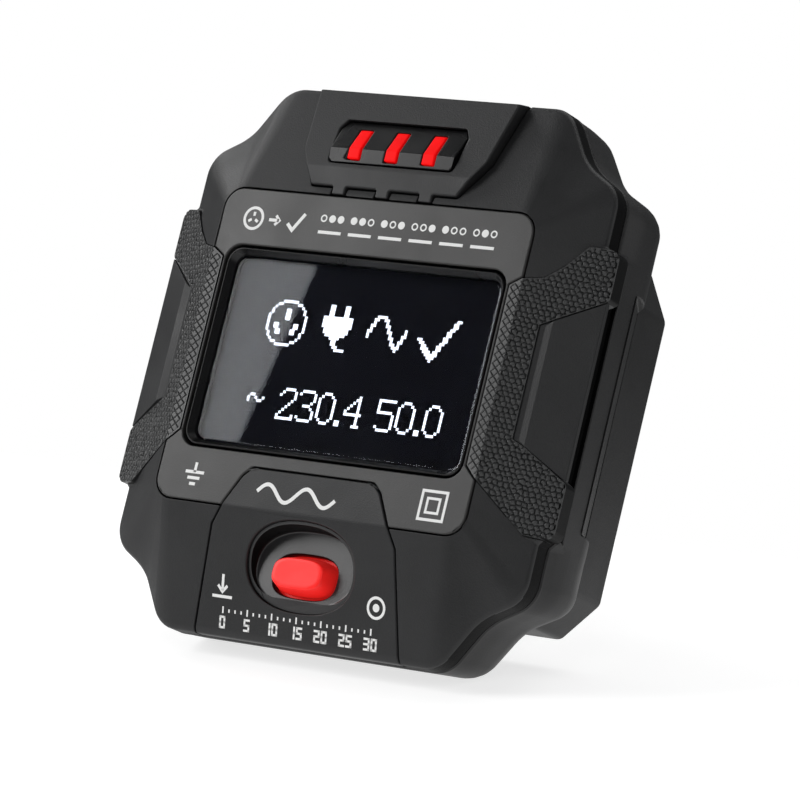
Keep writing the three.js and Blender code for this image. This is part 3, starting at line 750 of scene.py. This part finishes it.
def rear_shell():
    rings = [(PARTING_Y + GAP / 2, inset(FRONT, 0.14)), (PARTING_Y + 0.3, FRONT), (9.35, FRONT),
             (10.4, blend(FRONT, REAR, 0.4)), (11.6, blend(FRONT, REAR, 0.8)), (12.8, REAR), (15.0, REAR)]
    rings += [(y, inset(REAR, d)) for y, d in (
        (16.0, 0.12), (17.0, 0.42), (17.9, 0.85), (18.6, 1.35), (19.2, 2.0), (19.65, 2.7), (19.9, 3.3),
        (BACK_Y, 3.9))]
    shell = loft([(y, drafted(outline, y)) for y, outline in rings])
    outline = rounded(BOSS, 8)
    boss = loft([(y, inset(outline, d)) for y, d in (
        (18.5, 0), (27.5, 0), (27.85, 0.1), (28.15, 0.3), (28.32, 0.55), (PLUG_FACE_Y, 0.9))])
    cuts = []
    for side in (1, -1):
        section = [(35.9, 13.9), (40, 13.9), (40, 21), (33.3, 21), (33.3, 19.5)]
        bar = bar_z([(side * x, y) for x, y in section], -22, 22)
        ends = [(30, -19.5), (42, -15.5), (42, 18.5), (30, 14.5)]
        cuts.append(common(bar, prism(vectors(on_side(ends, side)), 10, 24)))
    hollow = loft([(PARTING_Y - 1, inset(FRONT, WALL)), (15.5, inset(FRONT, WALL)),
                   (BACK_Y - WALL, inset(FRONT, WALL + 1.9))])
    boss_hollow = prism(inset(vectors(BOSS), WALL), 15, PLUG_FACE_Y - WALL)
    pillars = [round_bar(3.4, 8.8, 19, x, z) for x, z in CASE_SCREWS]
    bore = [(0, 7), (PILOT_R, 7), (PILOT_R, 17), (2.8, 17), (2.8, 22), (0, 22)]
    bores = [turned(bore, x, z) for x, z in CASE_SCREWS]
    slots = [at_pin(block(-PIN_T / 2 - GAP, PIN_T / 2 + GAP, 22, 32, -PIN_W / 2 - GAP, PIN_W / 2 + GAP), pin)
             for pin in PINS]
    threads = [round_bar(1.4, 25, 27.5, x, z) for x, z in CARRIER_SCREWS]
    shell = cut(join(cut(shell, *cuts, *side_grooves()), boss), hollow, boss_hollow)
    lip = [cut(prism(inset(FRONT, outer), y0, 10.6), prism(inset(FRONT, WALL + 0.8), 6, 12))
           for outer, y0 in ((WALL + 0.25, 7.6), (WALL - 0.1, PARTING_Y + 0.4))]
    shell = join(shell, *lip)
    shell = cut(join(shell, *pillars), *bores, *slots, *threads)

    # Painted shade in the side groove, between the covers.
    def in_groove(x, y, z, normal):
        return GROOVE_X - 0.5 < x < GROOVE_X + 0.7 and z < PAD_Z and y < GROOVE_Y[1] + 0.05

    shell = paint_shade_on_faces(soften(shell, 0.25, 3), in_groove)
    return piece(shell, "rear_shell", REAR_PLASTIC, "casing", "rear_cover")


def face_plate():
    plate = prism(PLATE_OUTLINE, 0, PLATE_T)
    holes = [rounded_box(*PLATE_HOLE, 2.5), inset(rounded(PANEL), -0.2)]
    holes += [inset(vectors(on_side(GRIP, side)), -0.2) for side in (1, -1)]
    tools = [prism(hole, -1, 3) for hole in holes]
    return piece(soften(cut(plate, *tools), 0.22), "plate", PLATE, "plate", "face_plate")


def bezel():
    def ring(depth, narrower, radius):
        half_x, half_z = BEZEL_HALF
        return depth, rounded_box(half_x - narrower, half_z - narrower, radius)

    body = loft([ring(0.15, 0.15, 2.3), ring(0.3, 0, 2.4), ring(3, 0, 2.4)])
    straight = rounded_box(*BEZEL_OPENING, 1.8)
    opening = loft([ring(-0.1, 0.2, 2.2), ring(0.25, 0.3, 2.2), (1.2, straight), (4, straight)])
    return piece(soften(cut(body, opening), 0.06, 2), "bezel", BEZEL, "bezel", "display_bezel")


def window():
    half_x, half_z = WINDOW_HALF
    front, back = WINDOW_Y
    outline = rounded_box(half_x, half_z, 1.6)
    rim = rounded_box(half_x - 0.1, half_z - 0.1, 1.5)
    body = loft([(front, rim), (front + 0.1, outline), (back, outline)])
    return piece(soften(body, 0), "window", WINDOW, "window", "display_window")


def indicator_tab():
    top = HALF_HEIGHT + HOUSING_Z
    front = [(0, 23), (0, 27.3), (3.3, top - 0.5), (RIM_Y - 0.15, top), (12, top), (12, 23)]
    plan = join(prism(TAB, -1, 11), *[prism(tooth, -1, 11) for tooth in TEETH])
    body = cut(common(bar_x(front, -20, 20), plan), behind(1))
    body = cut(body, prism(INSERT_HOLE, -2, 12))
    return piece(soften(body, 0.26, 3, angle=12), "indicator_tab", CASING, "casing", "indicator_cover")


def indicator_insert():
    section = [(0.1, 27.8), (0.1, 30.3), (2.8, 35.2), (5, 35.2), (5, 27.8)]
    outline = inset(INSERT_HOLE, 0.2)
    slots = [block(x - 1.15, x + 1.15, -2, 8, 28.6, 33.6) for x in PIPE_X]
    body = cut(common(bar_x(section, -12, 12), prism(outline, -2, 8)), *slots)
    return piece(soften(body, 0.18), "indicator_insert_visual", INSERT, "insert", "indicator_insert")


def light_pipes():
    for x, where in zip(PIPE_X, ("left", "centre", "right")):
        section = [(-0.05, 28.75), (-0.05, 30.35), (1.8, 33.5), (5.6, 33.5), (5.6, 28.75)]
        body = bar_x(section, x - 1, x + 1)
        name = "light_pipe_" + where
        piece(soften(body, 0.2), name + "_lens", LIGHT_RED, "light_red", name)


# ---- grips

def outline_distance(x, z, corners):
    """How far each point is from the nearest side of an outline."""
    best = np.full(x.shape, 1e9)
    for (ax, az), (bx, bz) in zip(corners, corners[1:] + corners[:1]):
        dx, dz = bx - ax, bz - az
        t = np.clip(((x - ax) * dx + (z - az) * dz) / (dx * dx + dz * dz), 0, 1)
        best = np.minimum(best, np.hypot(x - ax - t * dx, z - az - t * dz))
    return best


def pebbles(s, z, pitch):
    """Height of a surface of rounded bumps that lie in uneven rows."""
    near = np.full(s.shape, 1e9)
    second = np.full(s.shape, 1e9)
    row = np.round(z / (pitch * 0.866))
    for dr in (-1, 0, 1):
        r = row + dr
        shift = 0.5 * np.mod(r, 2)
        for dc in (-1, 0, 1):
            c = np.round(s / pitch - shift) + dc
            chance_s = np.modf(np.abs(np.sin(c * 12.9898 + r * 78.233) * 43758.5453))[0] - 0.5
            chance_z = np.modf(np.abs(np.sin(c * 39.346 + r * 11.135) * 24634.6345))[0] - 0.5
            away_s = s - (c + shift + 0.4 * chance_s) * pitch
            away_z = z - (r * 0.866 + 0.4 * chance_z) * pitch
            away = np.hypot(away_s, away_z)
            second = np.minimum(second, np.maximum(near, away))
            near = np.minimum(near, away)
    return smoothstep(0.02, 0.34, (second - near) / pitch) * (1 - 0.5 * (near / pitch) ** 2)


def grip_relief(s, z):
    """Height of the grip: a lattice of fine grooves on the flat strip, pebbles on the slope."""
    pitch = 1.2
    a = (s - 1.3 + z) / pitch
    b = (s - 1.3 - z) / pitch
    edge = np.minimum(np.abs(a - np.round(a)), np.abs(b - np.round(b)))
    lines = smoothstep(0.03, 0.08, edge)
    on_slope = smoothstep(STRIP_END - 0.05, STRIP_END + 0.1, s)
    return lines * (1 - on_slope) + pebbles(s, z, 0.82) * on_slope


GRIP_PROFILE = [(24.0, 0.02), (26.3, 0.02), (37.2, 5.66)]
GRIP_T = 2.4
STRIP_END = 2.3


def grip_slab(side, s0, s1, z_end, step):
    """A part of the grip between two places along its profile, with its relief."""
    path = [0]
    for (ax, ay), (bx, by) in zip(GRIP_PROFILE, GRIP_PROFILE[1:]):
        path.append(path[-1] + math.hypot(bx - ax, by - ay))
    s = np.linspace(s0, min(s1, path[-1]), round((min(s1, path[-1]) - s0) / step))
    z = np.linspace(-z_end, z_end, round(2 * z_end / step))
    slope = math.atan2(GRIP_PROFILE[2][1] - GRIP_PROFILE[1][1], GRIP_PROFILE[2][0] - GRIP_PROFILE[1][0])
    tilt = np.interp(s, [path[1] - 0.1, path[1] + 0.1], [0, slope])
    S, Z = np.meshgrid(s, z)
    X, _ = np.meshgrid(np.interp(s, path, [p[0] for p in GRIP_PROFILE]), z)
    Y, _ = np.meshgrid(np.interp(s, path, [p[1] for p in GRIP_PROFILE]), z)
    T, _ = np.meshgrid(tilt, z)
    border = outline_distance(X, Z, [(c[0], c[1]) for c in GRIP])
    on_strip = S < STRIP_END
    plain = np.where(on_strip, 0.25, 0.12)
    height = np.where(border < plain, 0.9, grip_relief(S, Z))
    sunk = np.where(on_strip, 0.12, 0.3) * (1 - height)
    X = X - np.sin(T) * sunk * 0.6
    Y = Y + np.cos(T) * sunk
    top = [(side * x, y, z) for x, y, z in zip(*(grid.ravel().tolist() for grid in (X, Y, Z)))]
    low = [(x, y + GRIP_T, z) for x, y, z in top]
    return mesh_object("grip", top + low, slab_faces(*X.shape))


def slab_faces(rows, columns):
    """The faces of a closed slab: a grid of points, the same grid behind it, and the rim between."""
    base = rows * columns
    faces = []
    for r in range(rows - 1):
        for c in range(columns - 1):
            a = r * columns + c
            faces.append((a, a + 1, a + columns + 1, a + columns))
            faces.append((base + a, base + a + columns, base + a + columns + 1, base + a + 1))
    ring = list(range(columns))
    ring += [r * columns + columns - 1 for r in range(1, rows)]
    ring += [(rows - 1) * columns + c for c in range(columns - 2, -1, -1)]
    ring += [r * columns for r in range(rows - 2, 0, -1)]
    for a, b in zip(ring, ring[1:] + ring[:1]):
        faces.append((a, b, base + b, base + a))
    return faces


def side_grip(side):
    slab = join(grip_slab(side, 0.3, STRIP_END + 0.06, 14.4, 0.07), grip_slab(side, STRIP_END, 99, 21, 0.13))
    outline = rounded(on_side(GRIP, side))
    slab = cut(common(slab, prism(outline, -2, 9.5)), behind(0.9))
    slab.data.set_sharp_from_angle(angle=math.radians(50))
    for face in slab.data.polygons:
        face.use_smooth = True
    # Painted shade on the grip's outer sides, beside the groove.
    paint_shade_on_faces(slab, lambda x, y, z, n: x > 35.5 and y > 5.6 and abs(n.y) < 0.75)
    name = "grip_right" if side > 0 else "grip_left"
    return piece(slab, name + "_pad", GRIP_PLASTIC, "grip", name)


# ---- button

def button_panel():
    slab = cut(common(prism(rounded(PANEL), -1, 12), copy(FORM)), behind(PLATE_T))
    slab = cut(slab, prism(oval(WELL[0] - POCKET_GAP, WELL[1] - POCKET_GAP, WELL_Z), -2, 14))
    return piece(soften(slab, 0.24, 3, angle=12), "panel", CASING, "casing", "button_panel")


def button_oval(grow_x, grow_z):
    return oval(BUTTON_SIZE[0] + grow_x, BUTTON_SIZE[1] + grow_z, BUTTON_Z, power=3)


def button_collar():
    """The well's lining: a wall that follows the lower facet and an upright floor round the button."""
    outer = prism(oval(WELL[0] - GAP, WELL[1] - GAP, WELL_Z), -2, COLLAR_BACK_Y)
    outer = common(outer, behind(0.5))
    bowl = loft([(y, oval(WELL[0] - a, WELL[1] - b, WELL_Z)) for y, a, b in (
        (-3, 0.55, 0.55), (3.2, 0.78, 0.8), (3.7, 0.86, 0.9), (3.92, 1.0, 1.04), (WELL_FLOOR_Y, 1.25, 1.3))])
    hole = loft([(y, button_oval(grow, grow)) for y, grow in (
        (3.4, 0.75), (3.9, 0.62), (4.25, 0.4), (6.5, 0.35))])
    # Painted shade on the walls of the well.
    lining = paint_shade_on_faces(soften(cut(outer, bowl, hole), 0.08, 2), lambda x, y, z, n: abs(n.y) < 0.8)
    return piece(lining, "collar", COLLAR, "plate", "button_collar")


def test_button():
    flange_y = COLLAR_BACK_Y + GAP
    face = BUTTON_FACE_Y
    rings = [(face + 0.02, -3.9, -2.1), (face, -1.4, -1.1), (face + 0.03, -0.86, -0.72),
             (face + 0.1, -0.7, -0.58), (face + 0.24, -0.6, -0.5), (face + 0.8, -0.42, -0.36),
             (WELL_FLOOR_Y, 0, 0), (flange_y + 0.2, 0, 0)]
    cap = loft([(y, button_oval(a, b)) for y, a, b in rings])
    flange = prism(button_oval(1.3, 1.3), flange_y, flange_y + 0.8)
    stem_end = (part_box("test_button")[1].y - ORIGIN.y) / MM
    stem = round_bar(1.5, flange_y, stem_end, 0, BUTTON_Z)
    button = soften(join(cap, flange, stem), 0)
    return piece(button, "button_cap", BUTTON, "button_red", "test_button", body="button")


# ---- plug

def plug_pins():
    for pin in PINS:
        name, out = pin[0], pin[4]
        tip = PLUG_FACE_Y + out
        half = PIN_W / 2
        side = [(PIN_TAIL_Y, -1.6), (21.5, -1.6), (21.5, -half), (tip - 1.6, -half), (tip, -half + 1.4),
                (tip, half - 1.4), (tip - 1.6, half), (21.5, half), (21.5, 1.6), (PIN_TAIL_Y, 1.6)]
        body = at_pin(bar_x(side, -PIN_T / 2, PIN_T / 2), pin)
        piece(soften(body, 0.3, 4), name + "_blade", NICKEL, "pin_metal", name)


def screws():
    for i, (x, z) in enumerate(CASE_SCREWS):
        profile = [(0, 6), (1.3, 6.4), (1.3, 17.3), (2.4, 17.3), (2.45, 17.6), (2.4, 18.3), (2.1, 18.7),
                   (1.6, 18.9), (0, 19)]
        cross = [block(x - a, x + a, 18.15, 20, z - b, z + b) for a, b in ((0.28, 1.45), (1.45, 0.28))]
        body = cut(turned(profile, x, z), *cross)
        name = f"case_screw_{i + 1}"
        piece(soften(body, 0.06, 2), name + "_head", STEEL, "screw_steel", name)


# ---- printed marks and the readout

class Ink:
    """Flat printed marks: polygons of (x, z), laid a hair above a surface."""

    def __init__(self):
        self.polygons = []

    def polygon(self, points):
        self.polygons.append([(float(x), float(z)) for x, z in points])

    def bar(self, x0, z0, x1, z1):
        self.polygon([(x0, z0), (x1, z0), (x1, z1), (x0, z1)])

    def disc(self, x, z, r, sides=28):
        self.polygon(circle(x, z, r, sides))

    def stroke(self, points, width, closed=False):
        """A line of even width; every stretch between two points is one four-sided polygon."""
        count = len(points)
        vecs = [Vector(p) for p in points]
        sides = []
        for i in range(count):
            before = vecs[i - 1] if i or closed else vecs[i]
            after = vecs[(i + 1) % count] if i + 1 < count or closed else vecs[i]
            to_here = vecs[i] - before
            onward = after - vecs[i]
            a = (to_here if to_here.length else onward).normalized()
            b = onward.normalized() if onward.length else a
            normal = Vector((-a.y - b.y, a.x + b.x)).normalized()
            reach = width / 2 / max(0.4, normal.dot(Vector((-a.y, a.x))))
            sides.append((vecs[i] + normal * reach, vecs[i] - normal * reach))
        for i in range(count if closed else count - 1):
            j = (i + 1) % count
            self.polygon([sides[i][0], sides[i][1], sides[j][1], sides[j][0]])

    def ring(self, x, z, r, width, sides=28):
        self.stroke(circle(x, z, r, sides), width, True)

    def object(self, name, y0, y1):
        points, faces = [], []
        for polygon in self.polygons:
            start, count = len(points), len(polygon)
            points += [(x, y0, z) for x, z in polygon] + [(x, y1, z) for x, z in polygon]
            faces.append(tuple(range(start, start + count)))
            faces.append(tuple(range(start + count, start + 2 * count)))
            faces += [(start + i, start + (i + 1) % count, start + count + (i + 1) % count, start + count + i)
                      for i in range(count)]
        return mesh_object(name, points, faces, merge=False)


# The strokes of a numeral, as shares of its width and height, and the ones that each numeral has.
STROKES = {
    "a": (0, 1, 1, 1), "b": (1, 0.5, 1, 1), "c": (1, 0, 1, 0.5), "d": (0, 0, 1, 0),
    "e": (0, 0, 0, 0.5), "f": (0, 0.5, 0, 1), "g": (0, 0.5, 1, 0.5),
}
NUMERALS = {"0": "abcdef", "1": "bc", "2": "abged", "3": "abgcd", "5": "afgcd"}


def numeral(ink, text, x, z, height, width):
    """Upright numerals of a plain seven-stroke kind, middle at x, foot at z."""
    wide = height * 0.52
    space = height * 0.34
    grow = width / 2
    x -= ((wide + space) * len(text) - space) / 2
    for character in text:
        for key in NUMERALS[character]:
            left, foot, right, top = STROKES[key]
            start = (x + wide * left - grow, z + height * foot - grow)
            ink.bar(*start, x + wide * right + grow, z + height * top + grow)
        x += wide + space


def socket_mark(ink, x, z):
    """A round socket with three slots, an arrow and a tick."""
    ink.ring(x, z, 1.55, 0.42)
    for angle in (90, 210, 330):
        a = math.radians(angle)
        ink.stroke([(x + r * math.cos(a), z + r * math.sin(a)) for r in (0.35, 0.95)], 0.4)
    ink.stroke([(-17.9, z), (-16.2, z)], 0.45)
    ink.stroke([(-16.8, z + 0.7), (-16.1, z), (-16.8, z - 0.7)], 0.42)
    ink.stroke([(-14.6, 18.5), (-13.6, 17.6), (-11.9, 20.1)], 0.52)


def lamp_patterns(ink):
    """Six groups of three lamps, full where lit, each over a dash."""
    lamp_z, lamp_pitch, group_pitch = 19.75, 1.45, 5.15
    for i, pattern in enumerate(("011", "110", "101", "001", "100", "010")):
        left = -8.6 + i * group_pitch
        for j, lit in enumerate(pattern):
            if lit == "1":
                ink.disc(left + j * lamp_pitch, lamp_z, 0.56)
            else:
                ink.ring(left + j * lamp_pitch, lamp_z, 0.44, 0.22, 20)
        ink.bar(left - 0.5, 17.5, left + 3.4, 17.95)


def earth_mark(ink, x, z):
    ink.stroke([(x, z + 1.4), (x, z)], 0.45)
    for width, drop in ((3.2, 0), (2.1, 0.85), (1.0, 1.7)):
        ink.bar(x - width / 2, z - drop - 0.22, x + width / 2, z - drop + 0.22)


def plate_marks():
    ink = Ink()
    socket_mark(ink, -20.6, 18.8)
    lamp_patterns(ink)
    earth_mark(ink, -19.9, -18.6)
    wave_length, wave_height = 6.6, 1.15
    along = [0.25 * t for t in range(54)]
    wave = [(-8.6 + t, -20.1 + wave_height * math.sin(t / wave_length * 2 * math.pi)) for t in along]
    ink.stroke(wave, 0.55)
    for half, width in ((2.0, 0.4), (1.0, 0.36)):
        corners = [(20.6 + half * a, -18.9 + half * b) for a, b in ((-1, -1), (1, -1), (1, 1), (-1, 1))]
        ink.stroke(corners, width, True)
    piece(ink.object("plate_marks", -0.03, 0.02), "plate_marks", PRINT, "plate")


def panel_marks():
    """An arrow onto a line, a ringed dot and a scale of 0 to 30."""
    ink = Ink()
    ink.stroke([(-12.9, -31.9), (-12.9, -34.1)], 0.42)
    ink.stroke([(-13.7, -33.4), (-12.9, -34.25), (-12.1, -33.4)], 0.4)
    ink.stroke([(-14.6, -34.9), (-11.2, -34.9)], 0.4)
    ink.ring(13.2, -33.4, 1.35, 0.38)
    ink.disc(13.2, -33.4, 0.55)
    scale_left, tick_pitch, ticks, ticks_per_number = -12.6, 1.05, 25, 4
    for i in range(ticks):
        x = scale_left + i * tick_pitch
        low, high = (-36.95, -36.5) if i % ticks_per_number else (-37.1, -36.2)
        ink.bar(x - 0.12, low, x + 0.12, high)
    for i in range(ticks // ticks_per_number + 1):
        numeral(ink, str(5 * i), scale_left + i * ticks_per_number * tick_pitch, -39.0, 1.4, 0.3)
    obj = on_lower_facet(ink.object("panel_marks", -0.03, 0.02))
    piece(obj, "panel_marks", PRINT, "casing")


GLYPHS = {
    "outlet": """
.....######.....
...##......##...
..#..........#..
.#.....##.....#.
.#.....##.....#.
#......##......#
#......##......#
#..............#
#..##......##..#
#..##......##..#
#...##....##...#
.#..##....##..#.
.#............#.
..#..........#..
...##......##...
.....######.....""",
    "plug": """
....##....##....
....##....##....
....##....##....
....##....##....
..############..
..############..
..############..
..############..
...##########...
...##########...
....########....
......####......
.......##.......
.......##.......
........##......
.........####...""",
    "wave": """
................
................
...####.........
..##..##........
..#....#........
.##....##.......
.#......#......#
##......##.....#
#........#....##
#........##...#.
..........#..##.
..........##.#..
...........###..
............#...
................
................""",
    "tick": """
................
..............##
.............##.
.............##.
............##..
...........##...
...........##...
..........##....
##........##....
.##......##.....
..##....##......
..###...##......
...###.##.......
....#####.......
.....###........
......#.........""",
    "~": """
.......
.......
.......
.##....
#..#..#
#...##.
.......
.......
.......
.......
.......""",
    "0": """
..###..
.#...#.
#.....#
#.....#
#.....#
#.....#
#.....#
#.....#
#.....#
.#...#.
..###..""",
    "2": """
..####.
.#....#
#.....#
......#
.....#.
....#..
...#...
..#....
.#.....
#.....#
#######""",
    "3": """
.#####.
#.....#
......#
......#
.....#.
..###..
.....#.
......#
......#
#.....#
.#####.""",
    "4": """
.....#.
....##.
...#.#.
..#..#.
.#...#.
#....#.
#######
.....#.
.....#.
.....#.
....###""",
    "5": """
#######
#......
#......
#......
######.
......#
......#
......#
......#
#.....#
.#####.""",
    ".": """
..
..
..
..
..
..
..
..
..
##
##""",
    " ": "....",
}
PIXEL_PITCH = 0.42


def readout():
    """The lit pixels of the display: four pictograms above a row of numbers."""
    ink = Ink()

    def glyph(name, x, top):
        rows = GLYPHS[name].strip("\n").split("\n")
        for r, row in enumerate(rows):
            for c, mark in enumerate(row):
                if mark == "#":
                    px, pz = x + c * PIXEL_PITCH, top - r * PIXEL_PITCH
                    ink.bar(px, pz - PIXEL_PITCH * 0.92, px + PIXEL_PITCH * 0.92, pz)
        return len(rows[0])

    for i, name in enumerate(("outlet", "plug", "wave", "tick")):
        glyph(name, -16.2 + i * 8.6, 8.2)
    x = -16.4
    for character in "~ 230.4 50.0":
        x += (glyph(character, x, -4.4) + 1) * PIXEL_PITCH
    module_front = (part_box("display_module")[0].y - ORIGIN.y) / MM
    piece(ink.object("readout", module_front - 0.06, module_front - 0.01), "readout", PIXEL, "display")


front_shell()
rear_shell()
face_plate()
bezel()
window()
indicator_tab()
indicator_insert()
light_pipes()
side_grip(1)
side_grip(-1)
button_panel()
button_collar()
test_button()
plug_pins()
screws()
plate_marks()
panel_marks()
readout()
bpy.data.objects.remove(FORM)

KEPT = {
    "display_module": DISPLAY, "display_cable": RIBBON, "switch_body": BLACK_PART,
    "switch_plunger": BLACK_PART, "main_board": BOARD, "controller_chip": BLACK_PART,
    "load_resistor": CERAMIC, "film_capacitor": FILM,
    "electrolytic_capacitor": SLEEVE, "test_relay": BLACK_PART, "fuse": CERAMIC, "pin_carrier": CARRIER,
    "carrier_screw_1": STEEL, "carrier_screw_2": STEEL, "led_left": LIGHT_RED, "led_centre": LIGHT_RED,
    "led_right": LIGHT_RED, "live_wire": BROWN, "neutral_wire": BLUE, "earth_wire": GREEN,
}
for name, mat in KEPT.items():
    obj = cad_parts[name]
    for slot in obj.material_slots:
        slot.link = "OBJECT"
        slot.material = mat

# ---- camera, floor and light

def placed(obj, at, x_axis, y_axis, z_axis):
    obj.matrix_world = Matrix.Translation(at) @ Matrix((x_axis, y_axis, z_axis)).transposed().to_4x4()
    return obj


# The camera was solved from the straight edges in the reference view.
RIGHT = Vector((0.82233, 0.51993, 0.23119))
UP = Vector((-0.09836, -0.27030, 0.95774))
AHEAD = Vector((-0.56045, 0.81031, 0.17113))
CAMERA_AT = place((379.84, -532.91, -117.40))
camera_data = bpy.data.cameras.new("camera")
camera_data.lens = 215.62
camera_data.sensor_width = 36
bpy.context.scene.camera = placed(linked("camera", camera_data), CAMERA_AT, RIGHT, UP, -AHEAD)

# The tester leans back on its lower rear edge, so the floor is tilted in the part's frame.
FLOOR_NORMAL = Vector((0, -0.406, 0.914)).normalized()
FLOOR_CLEARANCE = 0.0002
FLOOR_OUTLINE = [(-0.26, -0.3, 0.1), (0.26, -0.3, 0.1), (0.26, 0.085, 0.05), (-0.26, 0.085, 0.05)]


def lay_floor():
    rear = bpy.data.objects["rear_shell"]
    level = min(FLOOR_NORMAL.dot(rear.matrix_world @ v.co) for v in rear.data.vertices)
    centre = place((0, 10, 0))
    foot = centre + FLOOR_NORMAL * (level - FLOOR_CLEARANCE - FLOOR_NORMAL.dot(centre))
    across = Vector((1, 0, 0))
    along = FLOOR_NORMAL.cross(across)
    corners = rounded(FLOOR_OUTLINE, 6)
    mesh = bpy.data.meshes.new("floor")
    mesh.from_pydata([foot + across * p.x + along * p.y for p in corners], [], [tuple(range(len(corners)))])
    mat, _ = material("floor_white", (0.5, 0.5, 0.5), 0.9, {
        "Emission Color": (1, 1, 1, 1), "Emission Strength": 0.72})
    mesh.materials.append(mat)
    linked("floor", mesh)


def light_world():
    """White where the camera sees it, and a dim fill for everything else."""
    world = bpy.data.worlds.new("studio")
    world.use_nodes = True
    tree = world.node_tree
    tree.nodes.clear()
    output = tree.nodes.new("ShaderNodeOutputWorld")
    path = tree.nodes.new("ShaderNodeLightPath")
    mix = tree.nodes.new("ShaderNodeMixShader")
    tree.links.new(path.outputs["Is Camera Ray"], mix.inputs[0])
    for slot, strength, color in ((1, 0.14, (0.96, 0.98, 1, 1)), (2, 1.0, (1, 1, 1, 1))):
        background = tree.nodes.new("ShaderNodeBackground")
        set_inputs(background, {"Strength": strength, "Color": color})
        tree.links.new(background.outputs[0], mix.inputs[slot])
    tree.links.new(mix.outputs[0], output.inputs["Surface"])
    bpy.context.scene.world = world


def softbox(name, at, towards, upright, size_x, size_y, radiance):
    """A flat soft light of a given radiance; upright is the direction its long side follows."""
    data = bpy.data.lights.new(name, "AREA")
    data.shape = "RECTANGLE"
    data.size = size_x
    data.size_y = size_y
    data.energy = radiance * math.pi * size_x * size_y
    back = (at - towards).normalized()
    side = upright.cross(back).normalized()
    placed(linked(name, data), at, side, back.cross(side), back)


def mirrored_ray(point):
    """A point of the window, and where the camera's line of sight to it goes after the glass."""
    at = place(point)
    ray = (at - CAMERA_AT).normalized()
    return at, Vector((ray.x, -ray.y, ray.z))


def main_softbox():
    """The main softbox stands where the face plate mirrors it; its right edge crosses the window."""
    distance, width, height = 0.9, 0.45, 0.5
    glass_y = WINDOW_Y[0]
    at, direction = mirrored_ray((0, glass_y, 0))
    centre = at + direction * distance
    edge = []
    for x, z in ((-9, 13.3), (-15, -13)):
        at, ray = mirrored_ray((x, glass_y, z))
        edge.append(at + ray * ((centre - at).dot(direction) / ray.dot(direction)))
    upright = (edge[0] - edge[1]).normalized()
    leftwards = upright.cross(direction).normalized()
    if leftwards.x > 0:
        leftwards = -leftwards
    middle = (edge[0] + edge[1]) / 2 + upright * 0.05 + leftwards * width / 2
    softbox("main_softbox", middle, middle - direction, upright, width, height, 7.5)


lay_floor()
light_world()
main_softbox()
middle = place((0, 8, 0))
for name, offset, upright, size_x, size_y, radiance in (
        ("top_softbox", (0.1, 0.15, 0.9), (0, 1, 0), 0.9, 0.5, 2.2),
        ("front_softbox", (0.42, -0.89, 0.2), (0, 0, 1), 0.42, 0.5, 2.1),
        ("left_softbox", (-0.8, 0.0, 0.62), (0, 0, 1), 0.4, 0.4, 4),
        ("right_softbox", (0.9, 0.25, 0.25), (0, 0, 1), 0.35, 0.7, 1.7)):
    softbox(name, middle + Vector(offset), middle, Vector(upright), size_x, size_y, radiance)

bpy.context.scene.view_settings.view_transform = "Standard"
bpy.context.scene.view_settings.look = "None"
